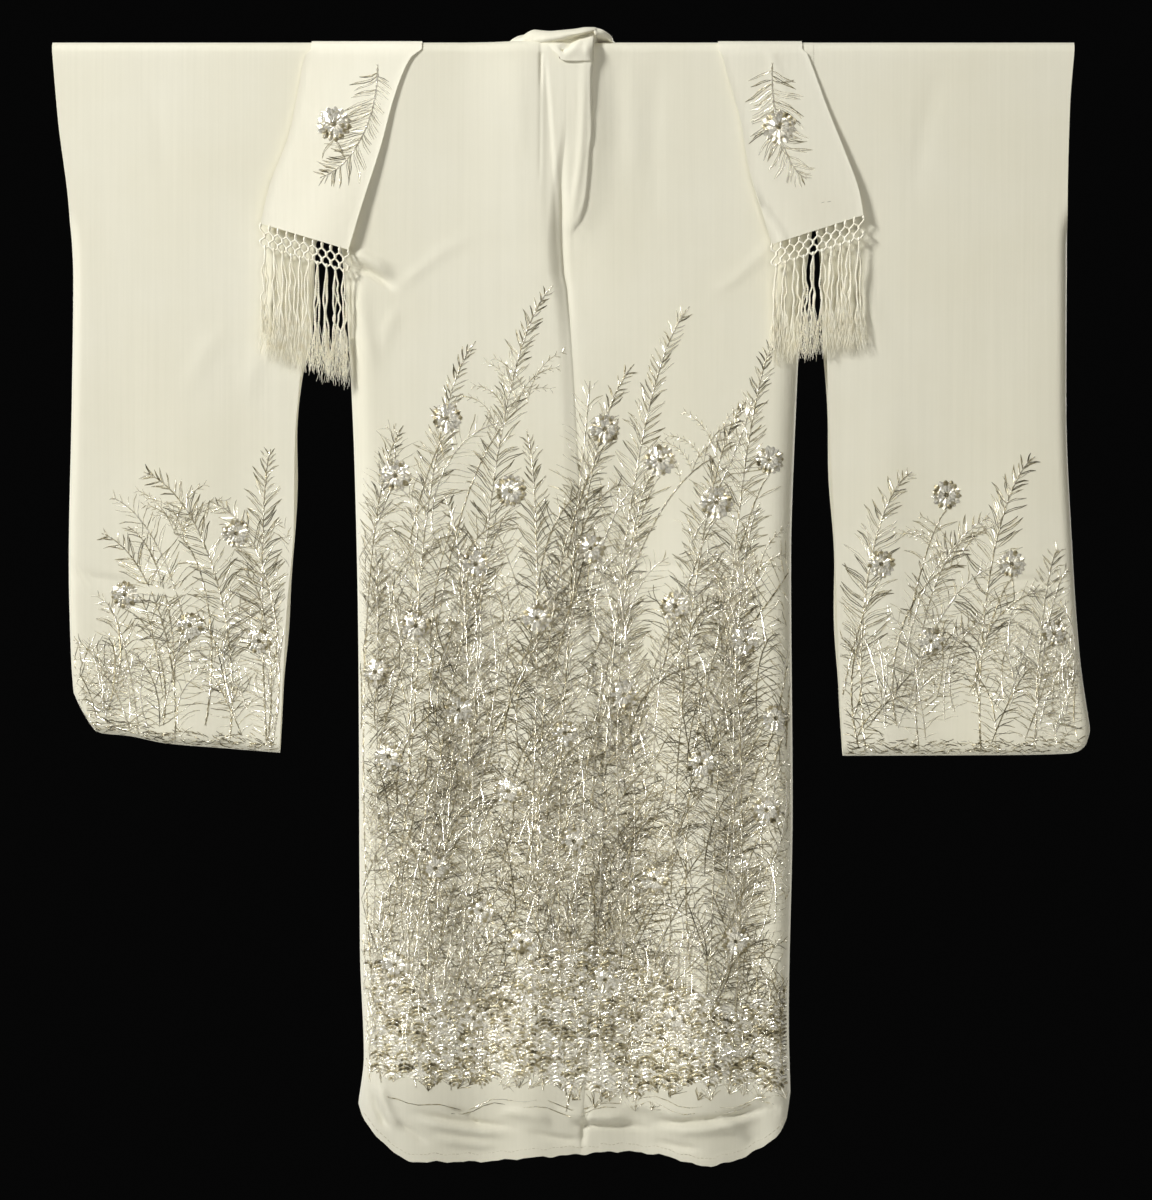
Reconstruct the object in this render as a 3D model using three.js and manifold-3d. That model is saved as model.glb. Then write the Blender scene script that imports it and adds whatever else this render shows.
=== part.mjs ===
// A kimono-cut silk robe hung on a plain rod, with its own fringed sash laid over both shoulders.
// Millimetres, +Z up. The robe's back faces -Y, its front +Y, and the wearer's right is +X.
// The origin is on the rod's axis, at the robe's centre back. A drop is a distance down from the
// shoulder fold.
import * as THREE from "three";
import { mergeVertices } from "three/addons/utils/BufferGeometryUtils.js";
import Module from "manifold-3d";

// ---- driving dimensions ----
const ROD_RADIUS = 12.5;
const ROD_LEFT = -678;
const ROD_RIGHT = 649;
const ROD_SIDES = 24;
const SILK = 1.6; // wall of the robe's silk and of the sash
const COLLAR_WALL = 3; // the collar band is doubled silk
const SEAM = 0.3; // gap between sewn pieces
const ROD_STEPS = 6; // facets of the cloth over the rod
// Middle of the cloth where it passes over the rod, with its flat facets clear of it.
const FOLD_RADIUS = (ROD_RADIUS + SEAM) / Math.cos(Math.PI / (2 * ROD_STEPS)) + SILK / 2;
const SASH_RADIUS = FOLD_RADIUS + SILK + SEAM;
const SEAM_DEPTH = (SILK + SEAM) / 2; // middle of a wall's depth where it is sewn to the other side's

const ARMHOLE_DROP = 225;
const WRIST_DROP = 217;
const LEFT_ARMHOLE_X = -317;
const RIGHT_ARMHOLE_X = 312;
const SIDE_ROUND = 30; // how far in from the side seam the body's wall turns
const SLEEVE_ROUND = 14; // the same at a sleeve's outer and bottom seams
const SEAM_OPENS = 45; // length over which a seam closes below an opening
const NECK_DROP = 25; // drop of the back neckline
const OVERLAP_LIFT = 4; // how far the left front lies over the right one
const LIFT_DROP = 35; // drop at which the left front is fully over the right one
const OVERLAP_TOP = 300; // drop at which the overlaps' points begin
const COLLAR_END = 850; // drop of the collar's lower ends
const COLLAR_WIDTH = 57;
const COLLAR_TILTED = 0.72; // share of that width that faces forward where the band stands at the neck
const COLLAR_FLAT_DROP = 200; // drop at which the band lies flat
const COLUMN_REACH = 20; // nominal distances of the body's inner columns from the centre back
const LEVEL_DROP = 900; // drop at which the body's columns are set out along the hem
const FRONT_REACH = 24; // the body's inner columns on the front, from the front edge
const FRONT_FOOT = 44;
const SLEEVE_WIDTH = 300; // nominal sizes that set out a sleeve's seam columns and rows
const SLEEVE_LENGTH = 900;

// ---- the robe's outline ----
const CENTRE_BACK = [
  { drop: 0, x: -9 },
  { drop: 180, x: -9 },
  { drop: 299, x: -14 },
  { drop: 324, x: -9 },
  { drop: 532, x: 5 },
  { drop: 670, x: 12 },
  { drop: 823, x: 26 },
  { drop: 987, x: 38 },
  { drop: 1065, x: 38 },
  { drop: 1221, x: 25 },
  { drop: 1450, x: 8 },
];
const LEFT_SIDE = [
  { drop: 0, x: LEFT_ARMHOLE_X },
  { drop: ARMHOLE_DROP, x: LEFT_ARMHOLE_X },
  { drop: 262, x: -305 },
  { drop: 389, x: -294 },
  { drop: 560, x: -286 },
  { drop: 803, x: -281 },
  { drop: 1182, x: -279 },
  { drop: 1321, x: -274 },
  { drop: 1382, x: -281 },
];
const RIGHT_SIDE = [
  { drop: 0, x: RIGHT_ARMHOLE_X },
  { drop: ARMHOLE_DROP, x: RIGHT_ARMHOLE_X },
  { drop: 277, x: 306 },
  { drop: 333, x: 298 },
  { drop: 489, x: 289 },
  { drop: 680, x: 283 },
  { drop: 996, x: 285 },
  { drop: 1274, x: 280 },
  { drop: 1368, x: 282 },
];
// Hem drops from the centre back, 0, to the side seam, 1.
const LEFT_HEM = [
  { across: 0, drop: 1445 },
  { across: 0.27, drop: 1451 },
  { across: 0.52, drop: 1456 },
  { across: 0.77, drop: 1453 },
  { across: 0.87, drop: 1433 },
  { across: 0.97, drop: 1404 },
  { across: 1, drop: 1382 },
];
const RIGHT_HEM = [
  { across: 0, drop: 1445 },
  { across: 0.2, drop: 1443 },
  { across: 0.37, drop: 1446 },
  { across: 0.59, drop: 1460 },
  { across: 0.76, drop: 1451 },
  { across: 0.92, drop: 1427 },
  { across: 0.98, drop: 1404 },
  { across: 1, drop: 1368 },
];
const LEFT_NECK = [
  { drop: 0, x: -84 },
  { drop: 5, x: -78 },
  { drop: 10, x: -64 },
  { drop: 16, x: -40 },
  { drop: NECK_DROP, x: -9 },
];
const RIGHT_NECK = [
  { drop: 0, x: 54 },
  { drop: 5, x: 49 },
  { drop: 10, x: 38 },
  { drop: 16, x: 20 },
  { drop: NECK_DROP, x: -9 },
];
// The line on which the collar is sewn to a front, and the front edge below the collar's end.
const LEFT_FRONT_EDGE = [
  { drop: 0, x: -84 },
  { drop: OVERLAP_TOP, x: 0 },
  { drop: 620, x: 64 },
  { drop: COLLAR_END, x: 93 },
  { drop: COLLAR_END + 2, x: 150 },
  { drop: 1460, x: 150 },
];
const RIGHT_FRONT_EDGE = [
  { drop: 0, x: 54 },
  { drop: OVERLAP_TOP, x: 0 },
  { drop: 620, x: -64 },
  { drop: COLLAR_END, x: -93 },
  { drop: COLLAR_END + 2, x: -150 },
  { drop: 1460, x: -150 },
];

// ---- the sleeves' outlines ----
const LEFT_SLEEVE = {
  inner: [
    { drop: 0, x: LEFT_ARMHOLE_X - SEAM },
    { drop: ARMHOLE_DROP, x: LEFT_ARMHOLE_X - SEAM },
    { drop: 262, x: -338 },
    { drop: 337, x: -341 },
    { drop: 441, x: -357 },
    { drop: 537, x: -364 },
    { drop: 632, x: -365 },
    { drop: 737, x: -374 },
    { drop: 926, x: -384 },
  ],
  outer: [
    { drop: 0, x: -681 },
    { drop: 104, x: -672 },
    { drop: WRIST_DROP, x: -658 },
    { drop: 309, x: -653 },
    { drop: 467, x: -655 },
    { drop: 680, x: -659 },
    { drop: 803, x: -656 },
    { drop: 846, x: -653 },
  ],
  bottom: [
    { across: 0, drop: 926 },
    { across: 0.28, drop: 920 },
    { across: 0.55, drop: 914 },
    { across: 0.74, drop: 904 },
    { across: 0.88, drop: 900 },
    { across: 0.955, drop: 873 },
    { across: 1, drop: 848 },
  ],
};
const RIGHT_SLEEVE = {
  inner: [
    { drop: 0, x: RIGHT_ARMHOLE_X + SEAM },
    { drop: ARMHOLE_DROP, x: RIGHT_ARMHOLE_X + SEAM },
    { drop: 262, x: 320 },
    { drop: 385, x: 328 },
    { drop: 489, x: 332 },
    { drop: 632, x: 339 },
    { drop: 846, x: 346 },
    { drop: 930, x: 351 },
  ],
  outer: [
    { drop: 0, x: 653 },
    { drop: 90, x: 646 },
    { drop: WRIST_DROP, x: 643 },
    { drop: 467, x: 642 },
    { drop: 680, x: 651 },
    { drop: 803, x: 660 },
    { drop: 894, x: 673 },
  ],
  bottom: [
    { across: 0, drop: 930 },
    { across: 0.7, drop: 929 },
    { across: 0.93, drop: 927 },
    { across: 0.98, drop: 918 },
    { across: 1, drop: 900 },
  ],
};

// ---- how far the walls hang from the rod's plane ----
const SHOULDER_HANG = 14.4; // both walls down to the armhole's end
const BODY_HANG = [
  { drop: FOLD_RADIUS, depth: FOLD_RADIUS },
  { drop: 120, depth: SHOULDER_HANG },
  { drop: ARMHOLE_DROP, depth: SHOULDER_HANG },
  { drop: 500, depth: 19 },
  { drop: 900, depth: 24 },
  { drop: 1460, depth: 30 },
];
const SLEEVE_HANG = [
  { drop: FOLD_RADIUS, depth: FOLD_RADIUS },
  { drop: 120, depth: SHOULDER_HANG },
  { drop: ARMHOLE_DROP, depth: SHOULDER_HANG },
  { drop: 500, depth: 12 },
  { drop: 930, depth: 10.5 },
];
// Soft upright folds: height is proud of the wall, and a negative one is a trough. Each starts at a drop.
const BACK_FOLDS = [
  { x: -205, width: 46, height: 7, start: 420 },
  { x: -118, width: 40, height: -5, start: 300 },
  { x: -55, width: 34, height: 5, start: 560 },
  { x: 82, width: 38, height: -6, start: 260 },
  { x: 165, width: 42, height: 8, start: 380 },
  { x: 236, width: 30, height: -4, start: 700 },
];
const FRONT_FOLDS = [
  { x: -215, width: 42, height: 6, start: 380 },
  { x: -150, width: 36, height: -4, start: 520 },
  { x: 120, width: 44, height: 4, start: 700 },
  { x: 215, width: 40, height: 7, start: 340 },
];
const SLEEVE_FOLDS = [
  { x: -590, width: 40, height: -2.5, start: 240 },
  { x: -500, width: 46, height: 3.5, start: 300 },
  { x: -425, width: 34, height: -2.5, start: 260 },
  { x: 405, width: 34, height: 3, start: 260 },
  { x: 480, width: 46, height: -2.5, start: 330 },
  { x: 585, width: 42, height: 3, start: 240 },
];
const FOLD_GROWTH = 650; // drop over which a soft fold reaches its height
// The pull fold that runs in from the left underarm.
const PULL_FOLD = { x: -272, drop: 300, length: 44, width: 13, height: 5, slope: 0.55 };
// The slack gathered below the collar at the centre back: a tongue that ends in a long trough.
const TONGUE = [
  { drop: 0, middle: 13, crest: 14, left: 32, right: 30 },
  { drop: 170, middle: 13, crest: 15, left: 31, right: 27 },
  { drop: 245, middle: 7, crest: 11, left: 22, right: 13 },
  { drop: 299, middle: -2, crest: 5, left: 15, right: 9 },
  { drop: 340, middle: -6, crest: 1, left: 16, right: 13 },
  { drop: 900, middle: -6, crest: 0, left: 20, right: 18 },
  { drop: 1450, middle: -4, crest: 0, left: 22, right: 22 },
];
const TONGUE_LEFT_SLOPE = 13;
const TONGUE_RIGHT_SLOPE = 8;

// ---- the collar where it rolls over the back neck: seam, lower, crest and free edge of each section ----
const COLLAR_ROLL = [
  { seam: [-80, 16.6, 3], lower: [-68, 20, 5], crest: [-54, 23, 7], free: [-42, 24, 6] },
  { seam: [-82, 11, 14], lower: [-72, 14, 20], crest: [-60, 17, 23], free: [-46, 20, 18] },
  { seam: [-83, 4, 17], lower: [-75, 6, 24], crest: [-60, 9, 27], free: [-43, 15, 21] },
  { seam: [-74, -13, 13], lower: [-66, -9, 22], crest: [-50, 1, 28], free: [-34, 12, 23] },
  { seam: [-51, -21, -1], lower: [-49, -20, 14], crest: [-41, -8, 28], free: [-30, 9, 24] },
  { seam: [-31, -28.6, -8.6], lower: [-31, -29, 8], crest: [-28, -14, 27], free: [-23, 7, 25] },
  { seam: [-9, -29.2, -9.4], lower: [-9, -30, 9], crest: [-5, -15, 29], free: [-2, 6, 26] },
  { seam: [13, -28.8, -8.6], lower: [15, -28, 10], crest: [18, -12, 32], free: [20, 7, 27] },
  { seam: [33, -20, -1], lower: [35, -18, 15], crest: [34, -4, 31], free: [28, 11, 24] },
  { seam: [46, -12, 13], lower: [44, -6, 22], crest: [35, 6, 27], free: [22, 15, 21] },
  { seam: [52, 4, 17], lower: [47, 7, 24], crest: [36, 11, 26], free: [24, 16, 21] },
  { seam: [52, 11, 14], lower: [44, 14, 18], crest: [34, 17, 20], free: [23, 19, 15] },
  { seam: [50, 15.6, 3], lower: [40, 18, 4], crest: [28, 19.5, 4], free: [17, 20, 3] },
];

// ---- the sash ----
// Both edges of each hanging end, from the rod, 0, to the fringe, 1.
const SASH_LEFT_END = [
  { along: 0, outerX: -342, outerDrop: 0, innerX: -198, innerDrop: 0 },
  { along: 0.12, outerX: -353, outerDrop: 29, innerX: -219, innerDrop: 33 },
  { along: 0.27, outerX: -359, outerDrop: 64, innerX: -234, innerDrop: 73 },
  { along: 0.5, outerX: -370, outerDrop: 119, innerX: -251, innerDrop: 136 },
  { along: 0.8, outerX: -396, outerDrop: 190, innerX: -277, innerDrop: 218 },
  { along: 1, outerX: -407, outerDrop: 238, innerX: -293, innerDrop: 272 },
];
const SASH_RIGHT_END = [
  { along: 0, outerX: 297, outerDrop: 0, innerX: 188, innerDrop: 0 },
  { along: 0.16, outerX: 311, outerDrop: 36, innerX: 199, innerDrop: 42 },
  { along: 0.4, outerX: 331, outerDrop: 91, innerX: 217, innerDrop: 106 },
  { along: 0.62, outerX: 351, outerDrop: 141, innerX: 227, innerDrop: 165 },
  { along: 0.87, outerX: 371, outerDrop: 198, innerX: 247, innerDrop: 231 },
  { along: 1, outerX: 376, outerDrop: 227, innerX: 257, innerDrop: 265 },
];
const SASH_STANDOFF = 11; // how far a fringed edge hangs clear of the robe
const SASH_SLANT = 0.3; // sideways run for each millimetre of drop on the front
const SASH_FOLD = { drop: 861, left: -70, right: 60, radius: 1.9 }; // the fold at the foot of its two runs
const SASH_CROSSING = { from: 380, to: 600 }; // drops over which the right run comes to lie on the left one
const SASH_CLEAR = 2.2; // how far it lies clear of the fronts, where it passes the collar
const SASH_CLEAR_DROP = 90;
const SASH_SLANT_DROP = 120; // drop at which it has its full slant

// ---- the fringes ----
const STRIP_HEIGHT = 3; // band above the net, parted from the sash's edge
const NET_COLUMNS = 10;
const NET_ROWS = 3;
const NET_PITCH = 9.2; // from row to row
const NET_CORD = 2.4; // width of the net's cords
const NET_WALL = 1.8;
const LOCKS_PER_KNOT = 3;
const LOCK_RADIUS = 1.35;
const LOCK_STEPS = 3;
const LOCK_ROOT = 1.2; // how far a lock's root reaches up into its knot
const LOCK_STRAY = 0.5;
const LOCK_PROUD = { middle: 1.6, side: -0.8 }; // where a knot's locks hang, out from the net's plane
const LOCK_UNEVEN = 5; // how much longer or shorter a lock may be

// ---- finishes ----
const FINISH = {
  silk: { color: 0xe9e5d2, roughness: 0.62, metalness: 0 },
  sash: { color: 0xece6d0, roughness: 0.6, metalness: 0 },
  fringe: { color: 0xe8e0c4, roughness: 0.7, metalness: 0 },
  wood: { color: 0x8a6a48, roughness: 0.55, metalness: 0 },
};

const wasm = await Module();
wasm.setup();

const { lerp, smoothstep, clamp } = THREE.MathUtils;

// The value of a table's column where another column, which rises from row to row, has the given value.
function lookUp(table, key, at, column) {
  const next = table.findIndex((row) => row[key] >= at);
  if (next === 0) return table[0][column];
  if (next < 0) return table[table.length - 1][column];
  const low = table[next - 1];
  const high = table[next];
  return lerp(low[column], high[column], (at - low[key]) / (high[key] - low[key]));
}

// The height of a row of soft folds at a place on a wall.
function foldHeight(folds, x, drop) {
  let height = 0;
  for (const fold of folds) {
    const off = (x - fold.x) / fold.width;
    const grown = smoothstep(drop, fold.start, fold.start + FOLD_GROWTH);
    height += fold.height * grown * Math.exp(-off * off);
  }
  return height;
}

function pullFoldHeight(x, drop) {
  const along = (x - PULL_FOLD.x) / PULL_FOLD.length;
  const off = (drop - PULL_FOLD.drop - PULL_FOLD.slope * (x - PULL_FOLD.x)) / PULL_FOLD.width;
  return PULL_FOLD.height * Math.exp(-along * along - off * off);
}

// How a wall's depth falls to nothing as it turns towards a seam, at a distance from that seam.
function turn(distance, reach) {
  const inward = clamp(1 - distance / reach, 0, 1);
  return Math.sqrt(1 - inward * inward);
}

const backBodyDepth = (x, drop) =>
  lookUp(BODY_HANG, "drop", drop, "depth") + foldHeight(BACK_FOLDS, x, drop) + pullFoldHeight(x, drop);
const frontBodyDepth = (x, drop) =>
  lookUp(BODY_HANG, "drop", drop, "depth") + foldHeight(FRONT_FOLDS, x, drop);
const sleeveDepth = (x, drop) =>
  lookUp(SLEEVE_HANG, "drop", drop, "depth") + foldHeight(SLEEVE_FOLDS, x, drop);

// The left front's rise over the right one: none at its side, all of it where the fronts overlap.
function leftFrontLift(x, drop) {
  return OVERLAP_LIFT * smoothstep(x, -260, -170) * smoothstep(drop, FOLD_RADIUS, LIFT_DROP);
}

// A closed wall around a grid of points on the cloth's middle: rows of equally many points.
function clothWall(rows, wall) {
  const last = rows.length - 1;
  const end = rows[0].length - 1;
  const corners = [];
  for (const face of [0.5, -0.5]) {
    rows.forEach((row, i) => {
      row.forEach((point, j) => {
        const across = rows[i][Math.min(j + 1, end)].clone().sub(rows[i][Math.max(j - 1, 0)]);
        const along = rows[Math.min(i + 1, last)][j].clone().sub(rows[Math.max(i - 1, 0)][j]);
        const normal = across.cross(along).normalize();
        corners.push(point.clone().addScaledVector(normal, face * wall));
      });
    });
  }
  const width = end + 1;
  const under = rows.length * width;
  const index = [];
  const quad = (a, b, c, d) => index.push(a, b, c, a, c, d);
  for (let i = 0; i < last; i += 1) {
    for (let j = 0; j < end; j += 1) {
      const k = i * width + j;
      quad(k, k + 1, k + width + 1, k + width);
      quad(under + k, under + k + width, under + k + width + 1, under + k + 1);
    }
    const first = i * width;
    const final = first + end;
    quad(first, first + width, under + first + width, under + first);
    quad(final, under + final, under + final + width, final + width);
  }
  for (let j = 0; j < end; j += 1) {
    const far = last * width + j;
    quad(j, under + j, under + j + 1, j + 1);
    quad(far, far + 1, under + far + 1, under + far);
  }
  const positions = corners.flatMap((corner) => corner.toArray());
  const geometry = new THREE.BufferGeometry();
  geometry.setAttribute("position", new THREE.Float32BufferAttribute(positions, 3));
  geometry.setIndex(index);
  return geometry;
}

// One row of a hanging wall, level with the given share of the way from the rod's axis to the lower edge.
function hangingRow(columns, share, side, shape) {
  return columns.map((across) => {
    const drop = lerp(FOLD_RADIUS, shape.bottom(across), share);
    const x = shape.x(across, drop);
    return new THREE.Vector3(x, side * shape.depth(x, drop, across), FOLD_RADIUS - drop);
  });
}

// The rows of a length of cloth where it passes over the rod, from one side to the other.
function rodRows(columns, radius, xOf) {
  const rows = [];
  for (let step = 1; step < ROD_STEPS; step += 1) {
    const angle = (Math.PI * step) / ROD_STEPS;
    const drop = FOLD_RADIUS * Math.abs(1 - (2 * step) / ROD_STEPS);
    const back = step * 2 <= ROD_STEPS;
    rows.push(
      columns.map((across) => {
        const x = xOf(across, drop, back);
        return new THREE.Vector3(x, -radius * Math.cos(angle), radius * Math.sin(angle));
      }),
    );
  }
  return rows;
}

// One length of cloth from its lower back edge up over the rod and down to its lower front edge.
function foldedLength(columns, backShares, frontShares, back, front) {
  return clothWall(
    [
      ...backShares.toReversed().map((share) => hangingRow(columns, share, -1, back)),
      ...rodRows(columns, FOLD_RADIUS, (across, drop, behind) => (behind ? back : front).x(across, drop)),
      ...frontShares.map((share) => hangingRow(columns, share, 1, front)),
    ],
    SILK,
  );
}

// ---- body lengths ----
const BODY_BACK_SHARES = [
  0, 0.008, 0.03, 0.07, 0.12, 0.155, 0.178, 0.2, 0.225, 0.26, 0.32, 0.38, 0.44, 0.5, 0.56, 0.62, 0.68, 0.74,
  0.8, 0.86, 0.91, 0.955, 1,
];
const BODY_FRONT_SHARES = [
  0, 0.03, 0.1, 0.155, 0.178, 0.2, 0.26, 0.35, 0.45, 0.55, 0.65, 0.75, 0.85, 0.93, 1,
];
// Columns 0 to 3 are the seam, the tongue's middle, its crest and its foot; the rest run on to the side.
const FIELD_COLUMNS = [0.16, 0.36, 0.56, 0.76];
const SIDE_COLUMNS = [SIDE_ROUND, SIDE_ROUND * 0.45, SIDE_ROUND * 0.12, 0]; // distances from the side
const BODY_COLUMNS = Array.from({ length: 4 + FIELD_COLUMNS.length + SIDE_COLUMNS.length }, (_, k) => k);
const SIDE_START = 4 + FIELD_COLUMNS.length;

function bodyLength(sign) {
  const side = sign < 0 ? LEFT_SIDE : RIGHT_SIDE;
  const hem = sign < 0 ? LEFT_HEM : RIGHT_HEM;
  const neck = sign < 0 ? LEFT_NECK : RIGHT_NECK;
  const frontEdge = sign < 0 ? LEFT_FRONT_EDGE : RIGHT_FRONT_EDGE;
  const slope = sign < 0 ? TONGUE_LEFT_SLOPE : TONGUE_RIGHT_SLOPE;
  const reach = sign < 0 ? "left" : "right";
  const sideX = (drop) => lookUp(side, "drop", drop, "x") - (sign * SILK) / 2;

  // Where a column lies between an inner edge, a foot beyond it and the side.
  const columnX = (column, inner, crest, foot, outer) => {
    if (column < 3) return inner + sign * [0, crest / 2, crest][column];
    const from = inner + sign * foot;
    if (column === 3) return from;
    if (column < SIDE_START) return lerp(from, outer - sign * SIDE_ROUND, FIELD_COLUMNS[column - 4]);
    return outer - sign * SIDE_COLUMNS[column - SIDE_START];
  };
  const columnShare = (column) => {
    const width = Math.abs(lookUp(side, "drop", LEVEL_DROP, "x"));
    return Math.abs(columnX(column, 0, COLUMN_REACH, COLUMN_REACH + slope, sign * width)) / width;
  };
  const shared = {
    bottom: (column) => lookUp(hem, "across", columnShare(column), "drop"),
  };
  // The wall's depth near its side seam: full along the armhole, then turning in to the seam.
  const turned = (depth, x, drop) => {
    const closing = smoothstep(drop, ARMHOLE_DROP, ARMHOLE_DROP + SEAM_OPENS);
    const away = Math.abs(sideX(drop) - x);
    return Math.max(depth * lerp(1, turn(away, SIDE_ROUND), closing), SEAM_DEPTH);
  };

  const back = {
    ...shared,
    x: (column, drop) => {
      const inNeck = drop < NECK_DROP;
      const inner = inNeck ? lookUp(neck, "drop", drop, "x") : lookUp(CENTRE_BACK, "drop", drop, "x");
      const crest = lookUp(TONGUE, "drop", drop, reach) * smoothstep(drop, -NECK_DROP, NECK_DROP);
      const outer = sideX(drop) + (sign * SILK * (drop < ARMHOLE_DROP ? 1 : 0)) / 2;
      return columnX(column, inner + (sign * SEAM) / 2, crest, crest + slope, outer);
    },
    depth: (x, drop, column) => {
      const proud = column < 2 ? "middle" : "crest";
      const tongue = column < 3 ? lookUp(TONGUE, "drop", drop, proud) : 0;
      const risen = smoothstep(drop, FOLD_RADIUS, NECK_DROP);
      return turned(backBodyDepth(x, drop) + tongue * risen, x, drop);
    },
  };
  const front = {
    ...shared,
    x: (column, drop) => {
      const edge = lookUp(frontEdge, "drop", drop, "x");
      const inner = sign < 0 ? Math.min(edge, 0) : Math.max(edge, 0);
      const outer = sideX(drop) + (sign * SILK * (drop < ARMHOLE_DROP ? 1 : 0)) / 2;
      return columnX(column, inner + (sign * SEAM) / 2, FRONT_REACH, FRONT_FOOT, outer);
    },
    depth: (x, drop) => {
      const lift = sign < 0 ? leftFrontLift(x, drop) : 0;
      return turned(frontBodyDepth(x, drop) + lift, x, drop);
    },
  };
  return foldedLength(BODY_COLUMNS, BODY_BACK_SHARES, BODY_FRONT_SHARES, back, front);
}

// ---- sleeves ----
const SLEEVE_SHARES = [0, 0.06, 0.14, 0.22, 0.25, 0.28, 0.36, 0.48, 0.6, 0.72, 0.84, 0.93];
const SLEEVE_FIELD = [0, 0.2, 0.4, 0.6, 0.8];
const SLEEVE_EDGE = [SLEEVE_ROUND, SLEEVE_ROUND * 0.25, 0];
const SLEEVE_COLUMNS = Array.from({ length: SLEEVE_FIELD.length + SLEEVE_EDGE.length }, (_, k) => k);

function sleeve(outline, sign) {
  const columnShare = (column) => {
    if (column < SLEEVE_FIELD.length) return SLEEVE_FIELD[column];
    return 1 - SLEEVE_EDGE[column - SLEEVE_FIELD.length] / SLEEVE_WIDTH;
  };
  const bottomAt = (column) => lookUp(outline.bottom, "across", columnShare(column), "drop");
  const shares = [...SLEEVE_SHARES, ...SLEEVE_EDGE.map((edge) => 1 - edge / SLEEVE_LENGTH)];
  const outerX = (drop) => lookUp(outline.outer, "drop", drop, "x") - (sign * SILK) / 2;
  const wall = {
    bottom: (column) => bottomAt(column) - SILK / 2,
    x: (column, drop) => {
      const inner = lookUp(outline.inner, "drop", drop, "x");
      const outer = outerX(drop);
      if (column >= SLEEVE_FIELD.length) return outer - sign * SLEEVE_EDGE[column - SLEEVE_FIELD.length];
      return lerp(inner, outer - sign * SLEEVE_ROUND, SLEEVE_FIELD[column]);
    },
    depth: (x, drop, column) => {
      const closing = smoothstep(drop, WRIST_DROP, WRIST_DROP + SEAM_OPENS);
      const atSide = lerp(1, turn(Math.abs(outerX(drop) - x), SLEEVE_ROUND), closing);
      const atBottom = turn(bottomAt(column) - SILK / 2 - drop, SLEEVE_ROUND);
      return Math.max(sleeveDepth(x, drop) * atSide * atBottom, SEAM_DEPTH);
    },
  };
  return foldedLength(SLEEVE_COLUMNS, shares, shares, wall, wall);
}

// ---- front overlaps ----
const OVERLAP_SHARE = 0.5; // share of the other half's hem that an overlap covers
// Each row's drop; the last one runs along the hem.
const OVERLAP_DROPS = [OVERLAP_TOP + 6, 400, 510, 620, 730, COLLAR_END, COLLAR_END + 2, 1000, 1150, 1300];

function overlap(sign) {
  const edge = sign < 0 ? LEFT_FRONT_EDGE : RIGHT_FRONT_EDGE;
  const hem = sign < 0 ? RIGHT_HEM : LEFT_HEM; // it reaches across to the other half
  const lift = sign < 0 ? OVERLAP_LIFT : 0;
  const hemDrop = (across) => lookUp(hem, "across", across * OVERLAP_SHARE, "drop");
  const rows = [...OVERLAP_DROPS.map((drop) => () => drop), hemDrop].map((dropAt) =>
    [0, 0.5, 1].map((across) => {
      const drop = dropAt(across);
      const inner = (-sign * SEAM) / 2;
      const outer = lookUp(edge, "drop", drop, "x") + (sign * SEAM) / 2;
      const x = lerp(inner, outer, across);
      return new THREE.Vector3(x, frontBodyDepth(x, drop) + lift, FOLD_RADIUS - drop);
    }),
  );
  return clothWall(rows, SILK);
}

// ---- collar ----
const COLLAR_FRONT_DROPS = [45, 110, 200, OVERLAP_TOP, 400, 510, 620, 730, COLLAR_END - SEAM];

// The collar's section at a drop on a front: from the seam line out to the free edge.
function collarOnFront(sign, drop) {
  const edge = sign < 0 ? LEFT_FRONT_EDGE : RIGHT_FRONT_EDGE;
  const seamX = lookUp(edge, "drop", drop, "x");
  const lift = sign < 0 ? OVERLAP_LIFT : 0;
  const doubled = (COLLAR_WALL - SILK) / 2;
  const width = COLLAR_WIDTH * lerp(COLLAR_TILTED, 1, smoothstep(drop, 0, COLLAR_FLAT_DROP));
  return [0, 1 / 3, 2 / 3, 1].map((across) => {
    const x = seamX - sign * (SEAM / 2 + width * across);
    return new THREE.Vector3(x, frontBodyDepth(x, drop) + lift + doubled, FOLD_RADIUS - drop);
  });
}

function collar() {
  const left = COLLAR_FRONT_DROPS.toReversed().map((drop) => collarOnFront(-1, drop));
  const right = COLLAR_FRONT_DROPS.map((drop) => collarOnFront(1, drop));
  const roll = COLLAR_ROLL.map((section) => {
    const through = [section.seam, section.lower, section.crest, section.free];
    return through.map((place) => new THREE.Vector3(...place));
  });
  return clothWall([...left, ...roll, ...right], COLLAR_WALL);
}

// ---- sash ----
const SASH_COLUMNS = [0, 1 / 3, 2 / 3, 1];
const SASH_END_SHARES = [1, 0.87, 0.74, 0.62, 0.5, 0.38, 0.27, 0.16];
const SASH_FRONT_DROPS = [FOLD_RADIUS, 50, 130, 240, 360, 480, 600, 700, 780, 830, SASH_FOLD.drop];

const sashHang = (along) => SHOULDER_HANG + SILK + SEAM + (SASH_STANDOFF - SILK - SEAM) * along ** 0.8;

// A point of a hanging end: across runs from its outer edge, 0, to its inner edge, 1.
function sashEndPoint(end, along, across) {
  const between = (outer, inner) =>
    lerp(lookUp(end, "along", along, outer), lookUp(end, "along", along, inner), across);
  const x = between("outerX", "innerX");
  const drop = between("outerDrop", "innerDrop");
  return new THREE.Vector3(x, -sashHang(along), FOLD_RADIUS - drop);
}

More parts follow.
